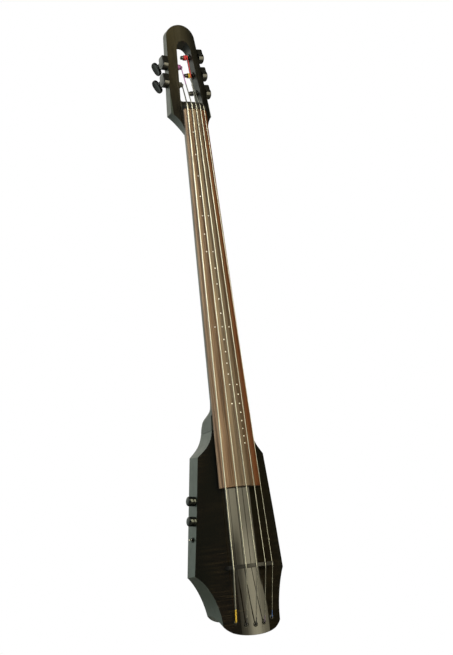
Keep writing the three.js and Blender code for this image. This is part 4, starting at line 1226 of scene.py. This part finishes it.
def shade_key(lamp, width):
    """Window-like key light: brightest right of its middle low down, more even higher up."""
    lamp.data.use_nodes = True
    g = Graph(lamp.data.node_tree)
    spot = g.add("ShaderNodeNewGeometry").outputs["Parametric"]
    parts = g.feed(g.add("ShaderNodeSeparateXYZ"), Vector=spot)
    across = g.span(parts.outputs["X"], 0, 1, -width / 2, width / 2)
    up = parts.outputs["Y"]
    place = g.span(across, -1.0, 1.5)
    low = g.ramp(place, [(0.0, grey(0.08)), (0.2, grey(0.22)), (0.32, grey(0.66)), (0.4, grey(0.95)),
                         (0.5, grey(1.05)), (0.58, grey(0.98)), (0.68, grey(0.7)), (0.78, grey(0.48)),
                         (1.0, grey(0.32))])
    high = g.ramp(place, [(0.0, grey(0.85)), (0.4, grey(0.62)), (0.68, grey(0.5)), (0.8, grey(0.4))])
    level = g.mix(g.span(up, 0.235, 0.3, smooth=True), low, high)
    rows = g.span(up, 0.3, 0.5, 1.0, 1.6)
    inside = g.math("MULTIPLY", g.math("GREATER_THAN", across, -1.0),
                    g.math("LESS_THAN", across, g.span(up, 0.15, 0.2, width / 2, 0.95)))
    strength = g.math("MULTIPLY", g.math("MULTIPLY", level, rows), inside)
    g.feed(g.tree.nodes["Emission"], Strength=strength)


def from_front(azimuth, distance, z):
    """Point at an azimuth right of the instrument's front."""
    angle = math.radians(azimuth)
    return (distance * math.sin(angle), -distance * math.cos(angle), z)


KEY_SIZE = (3.0, 2.6)
key = softbox("key", from_front(24, 2.4, 0.75), (0, 0, 0.35), KEY_SIZE, 9.0, (1.0, 0.92, 0.64))
shade_key(key, KEY_SIZE[0])
softbox("left_strip", from_front(-58, 1.6, 1.18), (0, 0, 0.9), (0.25, 0.95), 14.0)
softbox("left_back", from_front(-138, 2.6, 1.1), (0, 0, 0.9), (2.4, 3.8), 0.42, (0.9, 1.0, 0.9))

# strength of the room's light: ahead of the instrument, ahead to its right, behind it, high behind it
ROOM_FRONT = 0.16
ROOM_RIGHT = 0.03
ROOM_BACK = 0.36
ROOM_BACK_HIGH = 1.05
FLOOR_DROP = 0.55
FLOOR_RADIUS = 6.5


def camera_sees(graph, lit, shown, surface):
    """The lit shader for everything but the camera, which sees the shown one."""
    by_camera = graph.add("ShaderNodeLightPath").outputs["Is Camera Ray"]
    either = graph.feed(graph.add("ShaderNodeMixShader"), Fac=by_camera)
    graph.link(lit, either.inputs[1])
    graph.link(shown, either.inputs[2])
    graph.link(either.outputs["Shader"], surface)


def add_room():
    """World that is dark ahead of the instrument and paler behind its left, and white to the camera."""
    world = bpy.data.worlds.new("studio")
    world.use_nodes = True
    room = Graph(world.node_tree)
    way = room.add("ShaderNodeTexCoord").outputs["Generated"]
    toward = room.add("ShaderNodeVectorMath", operation="DOT_PRODUCT")
    toward.inputs[1].default_value = (-0.6, 0.8, 0.0)
    room.link(way, toward.inputs[0])
    parts = room.feed(room.add("ShaderNodeSeparateXYZ"), Vector=way)
    rising = room.span(parts.outputs["Z"], 0.05, 0.35, 0.0, 1.0, smooth=True)
    back = room.span(rising, 0.0, 1.0, ROOM_BACK, ROOM_BACK_HIGH)
    front = room.span(parts.outputs["X"], 0.15, 0.75, ROOM_FRONT, ROOM_RIGHT, smooth=True)
    strength = room.span(toward.outputs["Value"], 0.1, 0.75, front, back, smooth=True)
    tint = room.mix(rising, (0.86, 1.0, 0.9), (1.0, 1.0, 0.88))
    around = room.feed(room.add("ShaderNodeBackground"), Color=tint, Strength=strength)
    white = room.feed(world.node_tree.nodes["Background"], Color=(1, 1, 1, 1))
    camera_sees(room, around.outputs["Background"], white.outputs["Background"],
                world.node_tree.nodes["World Output"].inputs["Surface"])
    bpy.context.scene.world = world


def add_floor():
    """Pale floor, of one even tone to the camera."""
    rim = [(x, y, CAD_BOX[0][2] - FLOOR_DROP) for x, y in circle(FLOOR_RADIUS, 128)]
    mesh = mesh_of(rim, [tuple(range(128))])
    look = Nodes("floor_pale", Base_Color=(0.3, 0.3, 0.3, 1), Roughness=0.9)
    glow = look.feed(look.add("ShaderNodeEmission"), Color=(0.9, 0.9, 0.89, 1))
    camera_sees(look, look.shader.outputs["BSDF"], glow.outputs["Emission"],
                look.tree.nodes["Material Output"].inputs["Surface"])
    mesh.materials.append(look.material)
    floor = add_object("floor", mesh)


add_room()
add_floor()
bpy.context.scene.view_settings.view_transform = "Standard"
